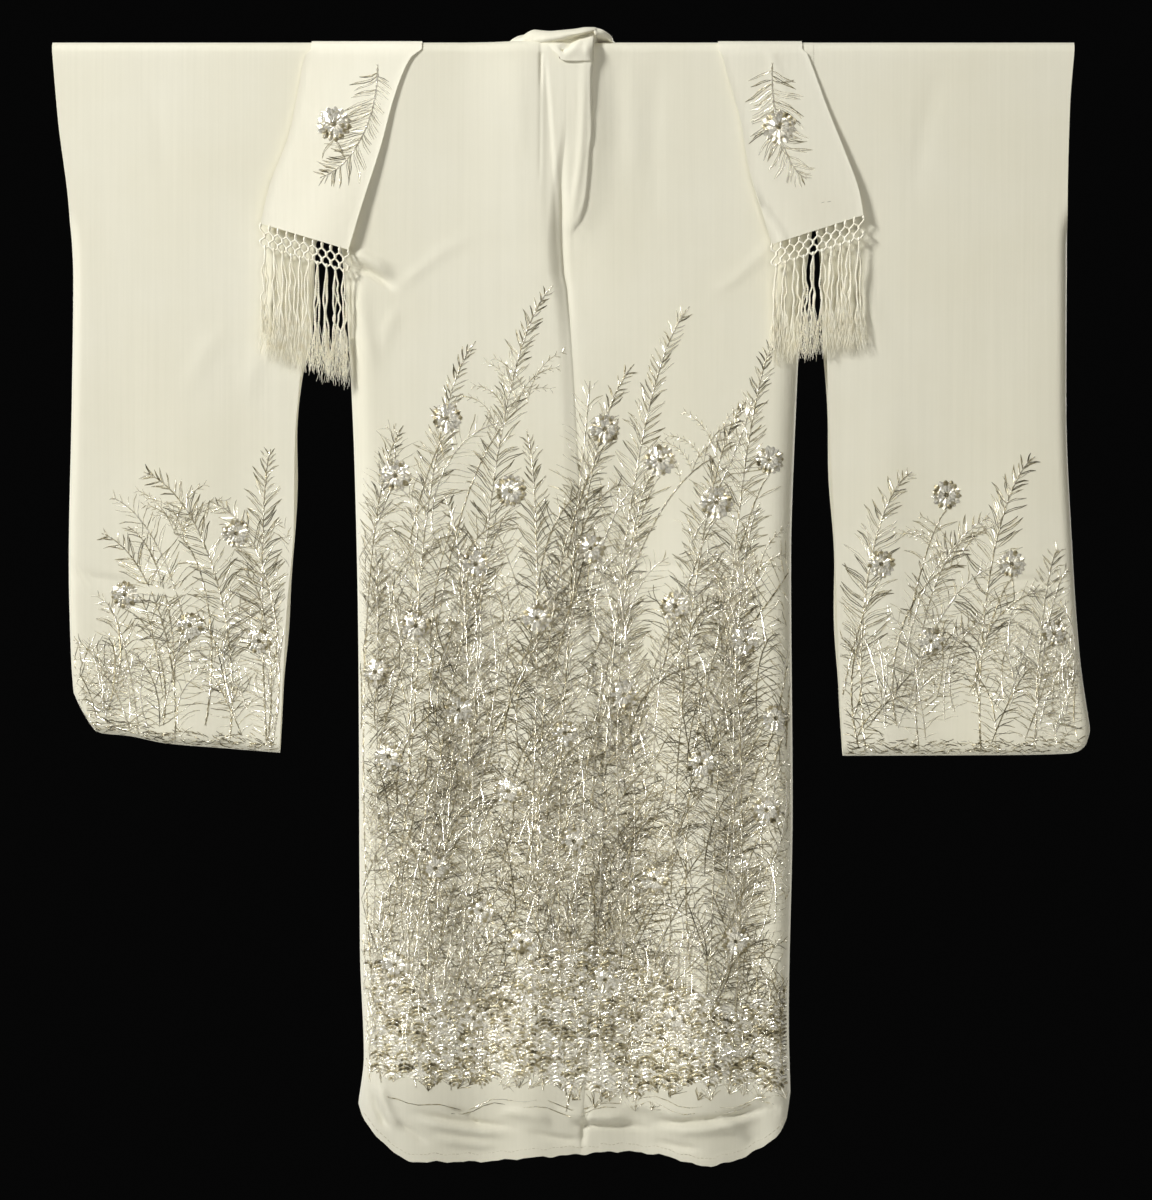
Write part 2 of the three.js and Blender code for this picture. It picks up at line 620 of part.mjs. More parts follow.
// A row on the front: the left run goes down behind the right one, and both slant in to the fold.
function sashFrontRow(end, sign, drop) {
  const top = end[0];
  const clear = SASH_CLEAR * smoothstep(drop, FOLD_RADIUS, SASH_CLEAR_DROP);
  const crossed = sign > 0 ? smoothstep(drop, SASH_CROSSING.from, SASH_CROSSING.to) : 0;
  const layer = SASH_FOLD.radius * 2 * crossed;
  const settled = smoothstep(drop, 0, SASH_SLANT_DROP);
  const outerFold = sign < 0 ? SASH_FOLD.left : SASH_FOLD.right;
  const innerFold = sign < 0 ? SASH_FOLD.right : SASH_FOLD.left;
  return SASH_COLUMNS.map((across) => {
    const slanted = lerp(outerFold, innerFold, across) + sign * SASH_SLANT * (SASH_FOLD.drop - drop);
    const x = lerp(lerp(top.outerX, top.innerX, across), slanted, settled);
    const wall = Math.max(frontBodyDepth(x, drop), lookUp(BODY_HANG, "drop", drop, "depth"));
    const over = leftFrontLift(x, drop) + SASH_RADIUS - FOLD_RADIUS + clear;
    return new THREE.Vector3(x, wall + over + layer, FOLD_RADIUS - drop);
  });
}

function sashRodRows(end) {
  const top = end[0];
  return rodRows(SASH_COLUMNS, SASH_RADIUS, (across) => lerp(top.outerX, top.innerX, across));
}

function sash() {
  const hangingEnd = (end) =>
    SASH_END_SHARES.map((along) => SASH_COLUMNS.map((across) => sashEndPoint(end, along, across)));
  const onRodLevel = (end) =>
    SASH_COLUMNS.map((across) => {
      const top = end[0];
      return new THREE.Vector3(lerp(top.outerX, top.innerX, across), -SASH_RADIUS, 0);
    });
  const leftRun = SASH_FRONT_DROPS.map((drop) => sashFrontRow(SASH_LEFT_END, -1, drop));
  const rightRun = SASH_FRONT_DROPS.map((drop) => sashFrontRow(SASH_RIGHT_END, 1, drop).toReversed());
  const lowest = leftRun[leftRun.length - 1];
  const bend = [45, 90, 135].map((degrees) => {
    const angle = THREE.MathUtils.degToRad(degrees);
    return lowest.map((point) => {
      const out = SASH_FOLD.radius * (1 - Math.cos(angle));
      return point.clone().add(new THREE.Vector3(0, out, -SASH_FOLD.radius * Math.sin(angle)));
    });
  });
  // The columns keep their edge of the cloth through the fold, so the right half runs the other way.
  const flip = (rows) => rows.map((row) => row.toReversed());
  return clothWall(
    [
      ...hangingEnd(SASH_LEFT_END),
      onRodLevel(SASH_LEFT_END),
      ...sashRodRows(SASH_LEFT_END),
      ...leftRun,
      ...bend,
      ...rightRun.toReversed(),
      ...flip(sashRodRows(SASH_RIGHT_END)).toReversed(),
      ...flip([onRodLevel(SASH_RIGHT_END)]),
      ...flip(hangingEnd(SASH_RIGHT_END)).toReversed(),
    ],
    SILK,
  );
}

// ---- fringes ----
function toSolid(geometry) {
  const bare = geometry.clone();
  bare.deleteAttribute("normal");
  bare.deleteAttribute("uv");
  const merged = mergeVertices(bare, 1e-4);
  return new wasm.Manifold(
    new wasm.Mesh({
      numProp: 3,
      vertProperties: new Float32Array(merged.attributes.position.array),
      triVerts: new Uint32Array(merged.index.array),
    }),
  );
}

function toGeometry(solid) {
  const mesh = solid.getMesh();
  const geometry = new THREE.BufferGeometry();
  geometry.setAttribute("position", new THREE.Float32BufferAttribute(mesh.vertProperties, 3));
  geometry.setIndex(Array.from(mesh.triVerts));
  return geometry;
}

// The knotted net in its own plane: x along the sash's edge and y up, with six-sided gaps.
function netShape(pitch, length) {
  const halfWidth = (pitch - NET_CORD) / 2;
  const halfHeight = (NET_PITCH * 4) / 6 - NET_CORD / 2;
  const rowY = (row) => -STRIP_HEIGHT - halfHeight - row * NET_PITCH;
  const rowStart = (row) => (row % 2 ? pitch : pitch / 2);
  const outline = new THREE.Shape();
  outline.moveTo(0, 0);
  outline.lineTo(length, 0);
  const foot = rowY(NET_ROWS - 1);
  outline.lineTo(length, foot - halfHeight / 2);
  for (let column = NET_COLUMNS - 1; column >= 0; column -= 1) {
    const middle = pitch * (column + 0.5);
    outline.lineTo(middle, foot - halfHeight - NET_CORD * 0.6);
    if (column > 0) outline.lineTo(pitch * column, foot - halfHeight / 2 - NET_CORD * 0.5);
  }
  outline.lineTo(0, foot - halfHeight / 2);
  for (let row = 0; row < NET_ROWS; row += 1) {
    const count = NET_COLUMNS - (row % 2);
    for (let column = 0; column < count; column += 1) {
      const x = rowStart(row) + column * pitch;
      const y = rowY(row);
      const gap = new THREE.Path();
      gap.moveTo(x, y - halfHeight);
      gap.lineTo(x + halfWidth, y - halfHeight / 2);
      gap.lineTo(x + halfWidth, y + halfHeight / 2);
      gap.lineTo(x, y + halfHeight);
      gap.lineTo(x - halfWidth, y + halfHeight / 2);
      gap.lineTo(x - halfWidth, y - halfHeight / 2);
      outline.holes.push(gap);
    }
  }
  return { outline, footY: foot - halfHeight - NET_CORD * 0.2 };
}

// One lock of yarn that hangs plumb from a knot and strays a little on its way down.
function lock(knot, offset, length, phase) {
  const points = [0, 0.3, 0.65, 1].map((along) => {
    const spread = offset * smoothstep(along, 0, 0.35);
    const stray = LOCK_STRAY * Math.sin(phase + 5 * along) * along;
    const out = (offset === 0 ? LOCK_PROUD.middle : LOCK_PROUD.side) * smoothstep(along, 0, 0.5);
    return new THREE.Vector3(knot.x + spread + stray, knot.y - out, knot.z + LOCK_ROOT - length * along);
  });
  const section = new THREE.Shape();
  [90, 210, 330].forEach((degrees, k) => {
    const angle = THREE.MathUtils.degToRad(degrees);
    const place = [LOCK_RADIUS * Math.cos(angle), LOCK_RADIUS * Math.sin(angle)];
    if (k === 0) section.moveTo(...place);
    else section.lineTo(...place);
  });
  const extrudePath = new THREE.CatmullRomCurve3(points);
  return new THREE.ExtrudeGeometry(section, { steps: LOCK_STEPS, extrudePath, bevelEnabled: false });
}

function fringe(end, lengths) {
  const outer = sashEndPoint(end, 1, 0);
  const inner = sashEndPoint(end, 1, 1);
  const from = outer.x < inner.x ? outer : inner;
  const to = outer.x < inner.x ? inner : outer;
  const run = to.x - from.x;
  const pitch = run / NET_COLUMNS;
  const { outline, footY } = netShape(pitch, run);
  const plate = new THREE.ExtrudeGeometry(outline, { depth: NET_WALL, bevelEnabled: false });
  // Plane coordinates to the hang: x stays, the edge's slant shears it down, and depth runs towards -Y.
  const slant = (to.z - from.z) / run;
  const place = new THREE.Matrix4().set(
    ...[1, 0, 0, from.x],
    ...[0, 0, -1, from.y + NET_WALL / 2],
    ...[slant, 1, 0, from.z - SEAM],
    ...[0, 0, 0, 1],
  );
  plate.applyMatrix4(place);
  let solid = toSolid(plate);
  for (let column = 0; column < NET_COLUMNS; column += 1) {
    const x = pitch * (column + 0.5);
    const knot = new THREE.Vector3(x, footY, NET_WALL / 2).applyMatrix4(place);
    for (let k = 0; k < LOCKS_PER_KNOT; k += 1) {
      const offset = (k - (LOCKS_PER_KNOT - 1) / 2) * (pitch / LOCKS_PER_KNOT);
      const uneven = LOCK_UNEVEN * Math.sin(7 * column + 3 * k);
      const length = lerp(lengths.first, lengths.last, x / run) + uneven;
      solid = solid.add(toSolid(lock(knot, offset, length, column * 1.7)));
    }
  }
  return toGeometry(solid);
}

// ---- assembly ----
function piece(name, geometry, finish) {
  const mesh = new THREE.Mesh(geometry, new THREE.MeshStandardMaterial(FINISH[finish]));
  mesh.name = name;
  return mesh;
}

function rod() {
  const dowel = new THREE.CylinderGeometry(ROD_RADIUS, ROD_RADIUS, ROD_RIGHT - ROD_LEFT, ROD_SIDES);
  const mesh = piece("rod", dowel, "wood");
  mesh.rotation.z = Math.PI / 2;
  mesh.position.x = (ROD_LEFT + ROD_RIGHT) / 2;
  return mesh;
}

const robe = new THREE.Group();
robe.add(
  piece("body_left", bodyLength(-1), "silk"),
  piece("body_right", bodyLength(1), "silk"),
  piece("sleeve_left", sleeve(LEFT_SLEEVE, -1), "silk"),
  piece("sleeve_right", sleeve(RIGHT_SLEEVE, 1), "silk"),
  piece("overlap_left", overlap(-1), "silk"),
  piece("overlap_right", overlap(1), "silk"),
  piece("collar", collar(), "silk"),
);

const belt = new THREE.Group();
belt.add(
  piece("sash", sash(), "sash"),
  piece("sash_fringe_left", fringe(SASH_LEFT_END, { first: 112, last: 134 }), "fringe"),
  piece("sash_fringe_right", fringe(SASH_RIGHT_END, { first: 112, last: 126 }), "fringe"),
);

const hungRobe = new THREE.Group();
hungRobe.add(rod(), robe, belt);

export default hungRobe;
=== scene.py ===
"""A kimono-cut silk robe hung on a plain rod, with its own fringed sash laid over both shoulders.

Metres, +Z up. The robe's back faces -Y and its front +Y, and the wearer's right is +X. x runs along the
rod from the robe's middle. A drop is a distance down from the shoulder fold. A wall's depth is its
distance from the upright plane through the rod's axis, towards the back or towards the front.
"""

import logging
import math
import random
from dataclasses import dataclass, field
from enum import Enum
from typing import Callable, Sequence

import bpy
import numpy as np
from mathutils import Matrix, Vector


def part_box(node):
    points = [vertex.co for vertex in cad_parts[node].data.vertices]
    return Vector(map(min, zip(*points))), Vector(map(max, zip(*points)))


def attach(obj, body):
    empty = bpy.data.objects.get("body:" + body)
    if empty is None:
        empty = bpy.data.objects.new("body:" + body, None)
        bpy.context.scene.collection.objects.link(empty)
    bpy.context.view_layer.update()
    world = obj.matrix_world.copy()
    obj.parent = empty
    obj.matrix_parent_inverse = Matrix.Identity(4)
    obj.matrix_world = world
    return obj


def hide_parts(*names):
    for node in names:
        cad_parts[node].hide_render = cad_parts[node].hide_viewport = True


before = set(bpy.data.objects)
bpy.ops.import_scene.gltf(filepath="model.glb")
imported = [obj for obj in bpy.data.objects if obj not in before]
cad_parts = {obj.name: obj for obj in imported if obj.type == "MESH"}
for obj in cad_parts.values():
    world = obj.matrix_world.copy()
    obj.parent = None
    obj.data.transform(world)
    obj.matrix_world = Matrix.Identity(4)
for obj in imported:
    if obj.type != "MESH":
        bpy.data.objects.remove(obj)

log = logging.getLogger("robe")

Array = np.ndarray
Surface = Callable[[Array, Array], Array]  # a wall's depth at (x, drop)
Colour = tuple[float, float, float]
Piece = bpy.types.Object
Socket = bpy.types.NodeSocket

# ---- driving dimensions ----
ROD_RADIUS = 0.0125
FOLD_RADIUS = 0.01405  # middle of the robe's cloth where it passes over the rod
SILK = 0.0014  # wall of the robe's silk and of the sash
COLLAR_WALL = 0.0028  # the collar band is doubled silk
SEAM = 0.0003
SEAM_DEPTH = 0.00095  # depth of a wall where it is sewn to the other side's
SASH_OVER = 0.0019  # how far the sash's cloth lies outside the robe's, middle to middle
SASH_RADIUS = FOLD_RADIUS + SASH_OVER

ARMHOLE_DROP = 0.225
WRIST_DROP = 0.217
LEFT_ARMHOLE = -0.317
RIGHT_ARMHOLE = 0.312
SIDE_ROUND = 0.030  # how far in from a side seam the body's wall turns
SLEEVE_ROUND = 0.014
SEAM_OPENS = 0.045  # length over which a seam closes below an opening
NECK_DROP = 0.025
OVERLAP_LIFT = 0.004  # how far the left front lies over the right one
LIFT_DROP = 0.035
OVERLAP_TOP = 0.300
COLLAR_END = 0.850
COLLAR_WIDTH = 0.057
COLLAR_TILTED = 0.72  # share of that width that faces forward where the band stands at the neck
COLLAR_FLAT_DROP = 0.200
LEVEL_DROP = 0.900
HALF_HEM = 0.2815  # the hem's mean reach from the middle
SHOULDER_HANG = 0.0144
FOLD_GROWTH = 0.650  # drop over which a soft fold reaches its height


class Side(Enum):
    """The wearer's left or right half, by the sign of its x."""

    LEFT = -1
    RIGHT = 1


class Face(Enum):
    """The robe's back or its front, by the sign of its y."""

    BACK = -1
    FRONT = 1


class Leaf(Enum):
    """How a leaflet is couched: one thread, or two that meet at its tip."""

    LINE = 1
    LENS = 2


def smoothstep(value: Array, low: float, high: float) -> Array:
    """A smooth rise from 0 at low to 1 at high."""
    share = np.clip((np.asarray(value, float) - low) / (high - low), 0.0, 1.0)
    return share * share * (3.0 - 2.0 * share)


def lerp(start: Array, end: Array, share: Array) -> Array:
    """The value at a share of the way from start to end."""
    return start + (end - start) * share


@dataclass(frozen=True)
class Profile:
    """A smooth line through a short table of places and values, with no overshoot."""

    rows: tuple[tuple[float, float], ...]

    def at(self, place: Array) -> Array:
        """The value at each place.

        Args:
            place: places along the table's first column, of any shape.

        Returns:
            values of the same shape, held level beyond the table's ends.
        """
        places, values = np.array(self.rows, float).T
        gaps = np.diff(places)
        steps = np.diff(values) / gaps
        slopes = np.concatenate([steps[:1], np.zeros(len(steps) - 1), steps[-1:]])
        before, after = steps[:-1], steps[1:]
        rising = before * after > 0
        total = np.where(rising, before + after, 1.0)
        slopes[1:-1] = np.where(rising, 2.0 * before * after / total, 0.0)
        where = np.clip(np.asarray(place, float), places[0], places[-1])
        k = np.clip(np.searchsorted(places, where, side="right") - 1, 0, len(gaps) - 1)
        t = (where - places[k]) / gaps[k]
        return (
            values[k] * (1 + 2 * t) * (1 - t) ** 2
            + values[k + 1] * t * t * (3 - 2 * t)
            + gaps[k] * (slopes[k] * t * (1 - t) ** 2 - slopes[k + 1] * t * t * (1 - t))
        )


# ---- the robe's outline, as drop and x ----
CENTRE_BACK = Profile(
    (
        (0.0, -0.009), (0.12, -0.011), (0.19, -0.0165), (0.24, -0.0165), (0.299, -0.0135), (0.324, -0.009),
        (0.532, 0.005), (0.67, 0.012), (0.823, 0.026), (0.987, 0.038), (1.065, 0.038), (1.221, 0.025),
        (1.45, 0.008),
    )
)
SIDE_SEAM = {
    Side.LEFT: Profile(
        (
            (0.0, LEFT_ARMHOLE), (ARMHOLE_DROP, LEFT_ARMHOLE), (0.262, -0.305), (0.389, -0.294),
            (0.56, -0.286), (0.803, -0.281), (1.182, -0.279), (1.321, -0.274), (1.382, -0.281),
        )
    ),
    Side.RIGHT: Profile(
        (
            (0.0, RIGHT_ARMHOLE), (ARMHOLE_DROP, RIGHT_ARMHOLE), (0.277, 0.306), (0.333, 0.298),
            (0.489, 0.289), (0.68, 0.283), (0.996, 0.285), (1.274, 0.280), (1.368, 0.282),
        )
    ),
}
# Hem drops from the centre back, 0, to the side seam, 1.
HEM = {
    Side.LEFT: Profile(
        (
            (0.0, 1.445), (0.27, 1.451), (0.52, 1.456), (0.77, 1.453), (0.87, 1.433), (0.97, 1.404),
            (1.0, 1.382),
        )
    ),
    Side.RIGHT: Profile(
        (
            (0.0, 1.445), (0.2, 1.443), (0.37, 1.446), (0.59, 1.460), (0.76, 1.451), (0.92, 1.427),
            (0.98, 1.404), (1.0, 1.368),
        )
    ),
}
NECK = {
    Side.LEFT: Profile(
        (
            (0.0, -0.084), (0.0024, -0.066), (0.0037, -0.047), (0.006, -0.035), (0.009, -0.0235),
            (0.0135, -0.0210), (0.0235, -0.0190), (0.0248, -0.0145), (NECK_DROP, -0.009),
        )
    ),
    Side.RIGHT: Profile(
        (
            (0.0, 0.054), (0.0012, 0.046), (0.003, 0.031), (0.007, 0.0250), (0.020, 0.0225),
            (0.0242, 0.0195), (NECK_DROP, -0.009),
        )
    ),
}
# The line on which the collar is sewn to a front, and the front edge below the collar's end.
FRONT_EDGE = {
    Side.LEFT: Profile(
        (
            (0.0, -0.084), (OVERLAP_TOP, 0.0), (0.62, 0.064), (COLLAR_END, 0.093),
            (COLLAR_END + 0.002, 0.15), (1.46, 0.15),
        )
    ),
    Side.RIGHT: Profile(
        (
            (0.0, 0.054), (OVERLAP_TOP, 0.0), (0.62, -0.064), (COLLAR_END, -0.093),
            (COLLAR_END + 0.002, -0.15), (1.46, -0.15),
        )
    ),
}


@dataclass(frozen=True)
class SleeveCut:
    """A sleeve's outline: its inner and outer edge by drop, and its bottom by share of its width."""

    side: Side
    inner: Profile
    outer: Profile
    bottom: Profile


LEFT_SLEEVE = SleeveCut(
    Side.LEFT,
    Profile(
        (
            (0.0, LEFT_ARMHOLE - SEAM), (ARMHOLE_DROP, LEFT_ARMHOLE - SEAM), (0.262, -0.338),
            (0.337, -0.341), (0.441, -0.357), (0.537, -0.364), (0.632, -0.365), (0.737, -0.374),
            (0.926, -0.384),
        )
    ),
    Profile(
        (
            (0.0, -0.681), (0.104, -0.672), (WRIST_DROP, -0.658), (0.309, -0.653), (0.467, -0.655),
            (0.68, -0.659), (0.803, -0.656), (0.846, -0.653),
        )
    ),
    Profile(
        (
            (0.0, 0.926), (0.28, 0.920), (0.55, 0.914), (0.74, 0.904), (0.88, 0.900), (0.955, 0.873),
            (1.0, 0.848),
        )
    ),
)
RIGHT_SLEEVE = SleeveCut(
    Side.RIGHT,
    Profile(
        (
            (0.0, RIGHT_ARMHOLE + SEAM), (ARMHOLE_DROP, RIGHT_ARMHOLE + SEAM), (0.262, 0.320),
            (0.385, 0.328), (0.489, 0.332), (0.632, 0.339), (0.846, 0.346), (0.93, 0.351),
        )
    ),
    Profile(
        (
            (0.0, 0.653), (0.09, 0.646), (WRIST_DROP, 0.643), (0.467, 0.642), (0.68, 0.651),
            (0.803, 0.660), (0.894, 0.673),
        )
    ),
    Profile(((0.0, 0.930), (0.7, 0.929), (0.93, 0.927), (0.98, 0.918), (1.0, 0.900))),
)

# ---- how far the walls hang from the rod's plane ----
BODY_HANG = Profile(
    (
        (FOLD_RADIUS, FOLD_RADIUS), (0.12, SHOULDER_HANG), (ARMHOLE_DROP, SHOULDER_HANG), (0.5, 0.019),
        (0.9, 0.024), (1.46, 0.030),
    )
)
SLEEVE_HANG = Profile(
    (
        (FOLD_RADIUS, FOLD_RADIUS), (0.12, SHOULDER_HANG), (ARMHOLE_DROP, SHOULDER_HANG), (0.5, 0.012),
        (0.93, 0.0105),
    )
)


@dataclass(frozen=True)
class SoftFold:
    """An upright fold that grows below a drop: proud of the wall, or a trough if height is negative."""

    x: float
    width: float
    height: float
    start: float

    def rise(self, x: Array, drop: Array) -> Array:
        """How proud the wall stands here."""
        grown = smoothstep(drop, self.start, self.start + FOLD_GROWTH)
        return self.height * grown * np.exp(-(((x - self.x) / self.width) ** 2))


@dataclass(frozen=True)
class Crease:
    """A short ridge, or a trough if height is negative, between two places on a wall, bowed sideways."""

    start: tuple[float, float]
    end: tuple[float, float]
    height: float
    width: float
    bow: float = 0.0

    def rise(self, x: Array, drop: Array) -> Array:
        """How proud the wall stands here.

        Args:
            x: places along the rod.
            drop: their drops.

        Returns:
            the extra depth at each place.
        """
        run = np.subtract(self.end, self.start)
        length = float(np.hypot(*run))
        ahead = ((x - self.start[0]) * run[0] + (drop - self.start[1]) * run[1]) / length**2
        beside = ((drop - self.start[1]) * run[0] - (x - self.start[0]) * run[1]) / length
        along = np.clip(ahead, 0.0, 1.0)
        off = beside - 4.0 * self.bow * along * (1.0 - along)
        ends = smoothstep(ahead, -0.08, 0.3) * (1.0 - smoothstep(ahead, 0.7, 1.08))
        return self.height * ends * np.exp(-((off / self.width) ** 2))


BACK_FOLDS = (
    SoftFold(-0.205, 0.046, 0.007, 0.42), SoftFold(-0.118, 0.040, -0.005, 0.30),
    SoftFold(-0.055, 0.034, 0.005, 0.56), SoftFold(0.082, 0.038, -0.006, 0.26),
    SoftFold(0.165, 0.042, 0.008, 0.38), SoftFold(0.236, 0.030, -0.004, 0.70),
)
FRONT_FOLDS = (
    SoftFold(-0.215, 0.042, 0.006, 0.38), SoftFold(-0.150, 0.036, -0.004, 0.52),
    SoftFold(0.120, 0.044, 0.004, 0.70), SoftFold(0.215, 0.040, 0.007, 0.34),
)
SLEEVE_FOLDS = (
    SoftFold(-0.590, 0.040, -0.0025, 0.24), SoftFold(-0.500, 0.046, 0.0035, 0.30),
    SoftFold(-0.425, 0.034, -0.0025, 0.26), SoftFold(0.405, 0.034, 0.003, 0.26),
    SoftFold(0.480, 0.046, -0.0025, 0.33), SoftFold(0.585, 0.042, 0.003, 0.24),
)
BACK_CREASES = (
    Crease((-0.306, 0.272), (-0.236, 0.306), 0.0058, 0.0080, -0.006),
    Crease((-0.300, 0.288), (-0.234, 0.322), -0.0052, 0.0050, -0.005),
    Crease((-0.286, 0.312), (-0.258, 0.430), 0.0026, 0.0120, 0.003),
    Crease((-0.252, 0.400), (-0.232, 0.345), 0.0014, 0.0070, 0.002),
    Crease((0.016, 0.689), (0.120, 0.680), -0.0012, 0.0058, -0.003),
    Crease((0.100, 0.682), (0.196, 0.675), -0.0011, 0.0058, 0.003),
    Crease((0.072, 0.020), (0.084, 0.180), 0.0012, 0.0080, 0.003),
    Crease((0.112, 0.018), (0.100, 0.260), -0.0010, 0.0100, 0.004),
    Crease((-0.075, 0.016), (-0.068, 0.150), 0.0009, 0.0080),
    Crease((-0.130, 0.250), (-0.235, 0.330), 0.0011, 0.0070, 0.006),
    Crease((0.275, 0.240), (0.180, 0.330), 0.0012, 0.0080, -0.006),
    Crease((-0.250, 0.840), (-0.160, 0.852), -0.0014, 0.0140, 0.003),
    Crease((0.130, 0.985), (0.250, 0.972), -0.0014, 0.0140, 0.003),
    Crease((-0.211, 1.390), (-0.077, 1.411), -0.0052, 0.0046, 0.004),
    Crease((-0.205, 1.398), (-0.085, 1.418), 0.0061, 0.0071, 0.004),
    Crease((-0.161, 1.386), (-0.118, 1.414), -0.0042, 0.0044, -0.004),
    Crease((-0.095, 1.392), (-0.030, 1.404), 0.0052, 0.0066, -0.005),
    Crease((-0.060, 1.414), (0.012, 1.428), -0.0042, 0.0046, 0.003),
    Crease((-0.020, 1.388), (0.072, 1.398), 0.0061, 0.0076, 0.005),
    Crease((-0.005, 1.409), (0.099, 1.412), -0.0050, 0.0044, -0.003),
    Crease((0.018, 1.382), (0.012, 1.436), -0.0037, 0.0044, 0.002),
    Crease((0.060, 1.380), (0.150, 1.402), 0.0052, 0.0071, -0.004),
    Crease((0.099, 1.404), (0.262, 1.384), -0.0057, 0.0049, 0.006),
    Crease((0.110, 1.414), (0.240, 1.398), 0.0052, 0.0066, 0.006),
    Crease((0.105, 1.428), (0.164, 1.438), -0.0042, 0.0044, 0.002),
    Crease((0.180, 1.396), (0.228, 1.428), 0.0042, 0.0066, -0.003),
    Crease((0.236, 1.372), (0.268, 1.400), -0.0047, 0.0055, -0.003),
    Crease((-0.262, 1.364), (-0.240, 1.412), -0.0057, 0.0055, 0.003),
    Crease((-0.252, 1.356), (-0.226, 1.414), 0.0052, 0.0066, 0.003),
    Crease((-0.232, 1.404), (-0.190, 1.434), -0.0040, 0.0049, -0.003),
    Crease((-0.180, 1.424), (-0.100, 1.436), 0.0037, 0.0055, 0.002),
)
FRONT_CREASES = (
    Crease((0.296, 0.285), (0.240, 0.325), 0.0045, 0.0125, -0.004),
    Crease((-0.290, 0.280), (-0.230, 0.330), 0.0035, 0.0120, 0.004),
    Crease((-0.190, 0.700), (-0.060, 0.688), -0.0016, 0.0140, 0.003),
    Crease((-0.230, 1.390), (-0.090, 1.408), 0.0052, 0.0076, 0.004),
    Crease((-0.200, 1.402), (-0.110, 1.420), -0.0045, 0.0055, 0.003),
    Crease((-0.060, 1.396), (0.030, 1.412), 0.0047, 0.0071, -0.004),
    Crease((0.020, 1.386), (0.110, 1.404), -0.0042, 0.0060, -0.004),
    Crease((0.170, 1.400), (0.250, 1.382), 0.0047, 0.0071, 0.004),
    Crease((-0.262, 1.360), (-0.236, 1.406), -0.0047, 0.0060, 0.003),
)
SLEEVE_CREASES = (
    Crease((-0.457, 0.374), (-0.503, 0.448), 0.0014, 0.0080, 0.002),
    Crease((-0.404, 0.400), (-0.429, 0.467), 0.0014, 0.0080, 0.002),
    Crease((-0.660, 0.682), (-0.640, 0.694), -0.0030, 0.0044, 0.001),
    Crease((-0.657, 0.690), (-0.560, 0.706), -0.0018, 0.0052, 0.002),
    Crease((-0.590, 0.712), (-0.498, 0.716), -0.0017, 0.0046, 0.001),
    Crease((-0.640, 0.842), (-0.600, 0.900), 0.0016, 0.0060, -0.003),
    Crease((-0.430, 0.240), (-0.360, 0.330), 0.0012, 0.0080, 0.003),
    Crease((0.562, 0.698), (0.648, 0.702), -0.0018, 0.0042, 0.002),
    Crease((0.566, 0.706), (0.640, 0.711), 0.0012, 0.0050, 0.002),
    Crease((0.350, 0.250), (0.410, 0.400), 0.0013, 0.0080, 0.004),
    Crease((0.600, 0.860), (0.662, 0.896), 0.0014, 0.0070, 0.003),
    Crease((0.480, 0.030), (0.440, 0.210), -0.0009, 0.0090, 0.004),
    Crease((-0.560, 0.028), (-0.530, 0.200), -0.0008, 0.0090, -0.004),
)
HEM_BAND = 0.010  # height of the turned-up hem
HEM_PROUD = 0.0006

# ---- the slack gathered below the collar at the centre back ----
SLAB_LEFT = Profile(
    ((0.0, -0.0345), (0.038, -0.0315), (0.082, -0.0275), (0.138, -0.0236), (0.193, -0.0196), (0.26, -0.0160))
)
SLAB_RIGHT = Profile(
    (
        (0.0, 0.0228), (0.06, 0.0212), (0.12, 0.0222), (0.14, 0.0198), (0.196, 0.0155), (0.215, 0.0122),
        (0.232, 0.0062), (0.246, -0.0040),
    )
)
SLAB_STEP = Profile(
    ((0.0, 0.0036), (0.06, 0.0036), (0.13, 0.0031), (0.21, 0.0034), (0.236, 0.0024), (0.250, 0.0))
)
SLAB_SWELL = Profile(((0.0, 0.0100), (0.05, 0.0094), (0.12, 0.0062), (0.20, 0.0030), (0.26, 0.0)))
# Share of the swell that ends at the slack's right edge.
SLAB_EDGE = Profile(((0.0, 0.90), (0.012, 0.80), (0.05, 0.40), (0.14, 0.06), (0.20, 0.0)))
SLAB_LEFT_SLOPE = 0.0075
SLAB_RIGHT_SLOPE = 0.0026
LEFT_RIDGE = Profile(((0.0, -0.0310), (0.07, -0.0300), (0.137, -0.0235), (0.22, -0.0205), (0.30, -0.0190)))
LEFT_RIDGE_HEIGHT = Profile(((0.02, 0.0), (0.06, 0.0001), (0.14, 0.0003), (0.21, 0.0005), (0.27, 0.0)))
LEFT_RIDGE_WIDTH = 0.0042
RIGHT_RIDGE = Profile(
    ((0.0, 0.0145), (0.084, 0.0120), (0.147, 0.0090), (0.196, 0.0030), (0.25, -0.0040), (0.34, -0.0020))
)
RIGHT_RIDGE_HEIGHT = Profile(
    ((0.02, 0.0004), (0.08, 0.0012), (0.18, 0.0018), (0.22, 0.0010), (0.26, 0.0002), (0.30, 0.0))
)
RIGHT_RIDGE_WIDTH = 0.0050
LEFT_VALLEY_DEPTH = Profile(((0.012, 0.0006), (0.05, 0.0016), (0.14, 0.0013), (0.20, 0.0010), (0.26, 0.0)))
LEFT_VALLEY_EDGE = -0.0445
TROUGH_DEPTH = Profile(
    (
        (0.10, 0.0), (0.15, -0.0022), (0.19, -0.0048), (0.235, -0.0078), (0.29, -0.0088), (0.34, -0.0058),
        (0.42, -0.0030), (0.9, -0.0020), (1.45, -0.0014),
    )
)
TROUGH_LEFT_WIDTH = Profile(
    ((0.10, 0.0030), (0.18, 0.0070), (0.23, 0.0100), (0.28, 0.0125), (0.36, 0.0110), (1.45, 0.012))
)
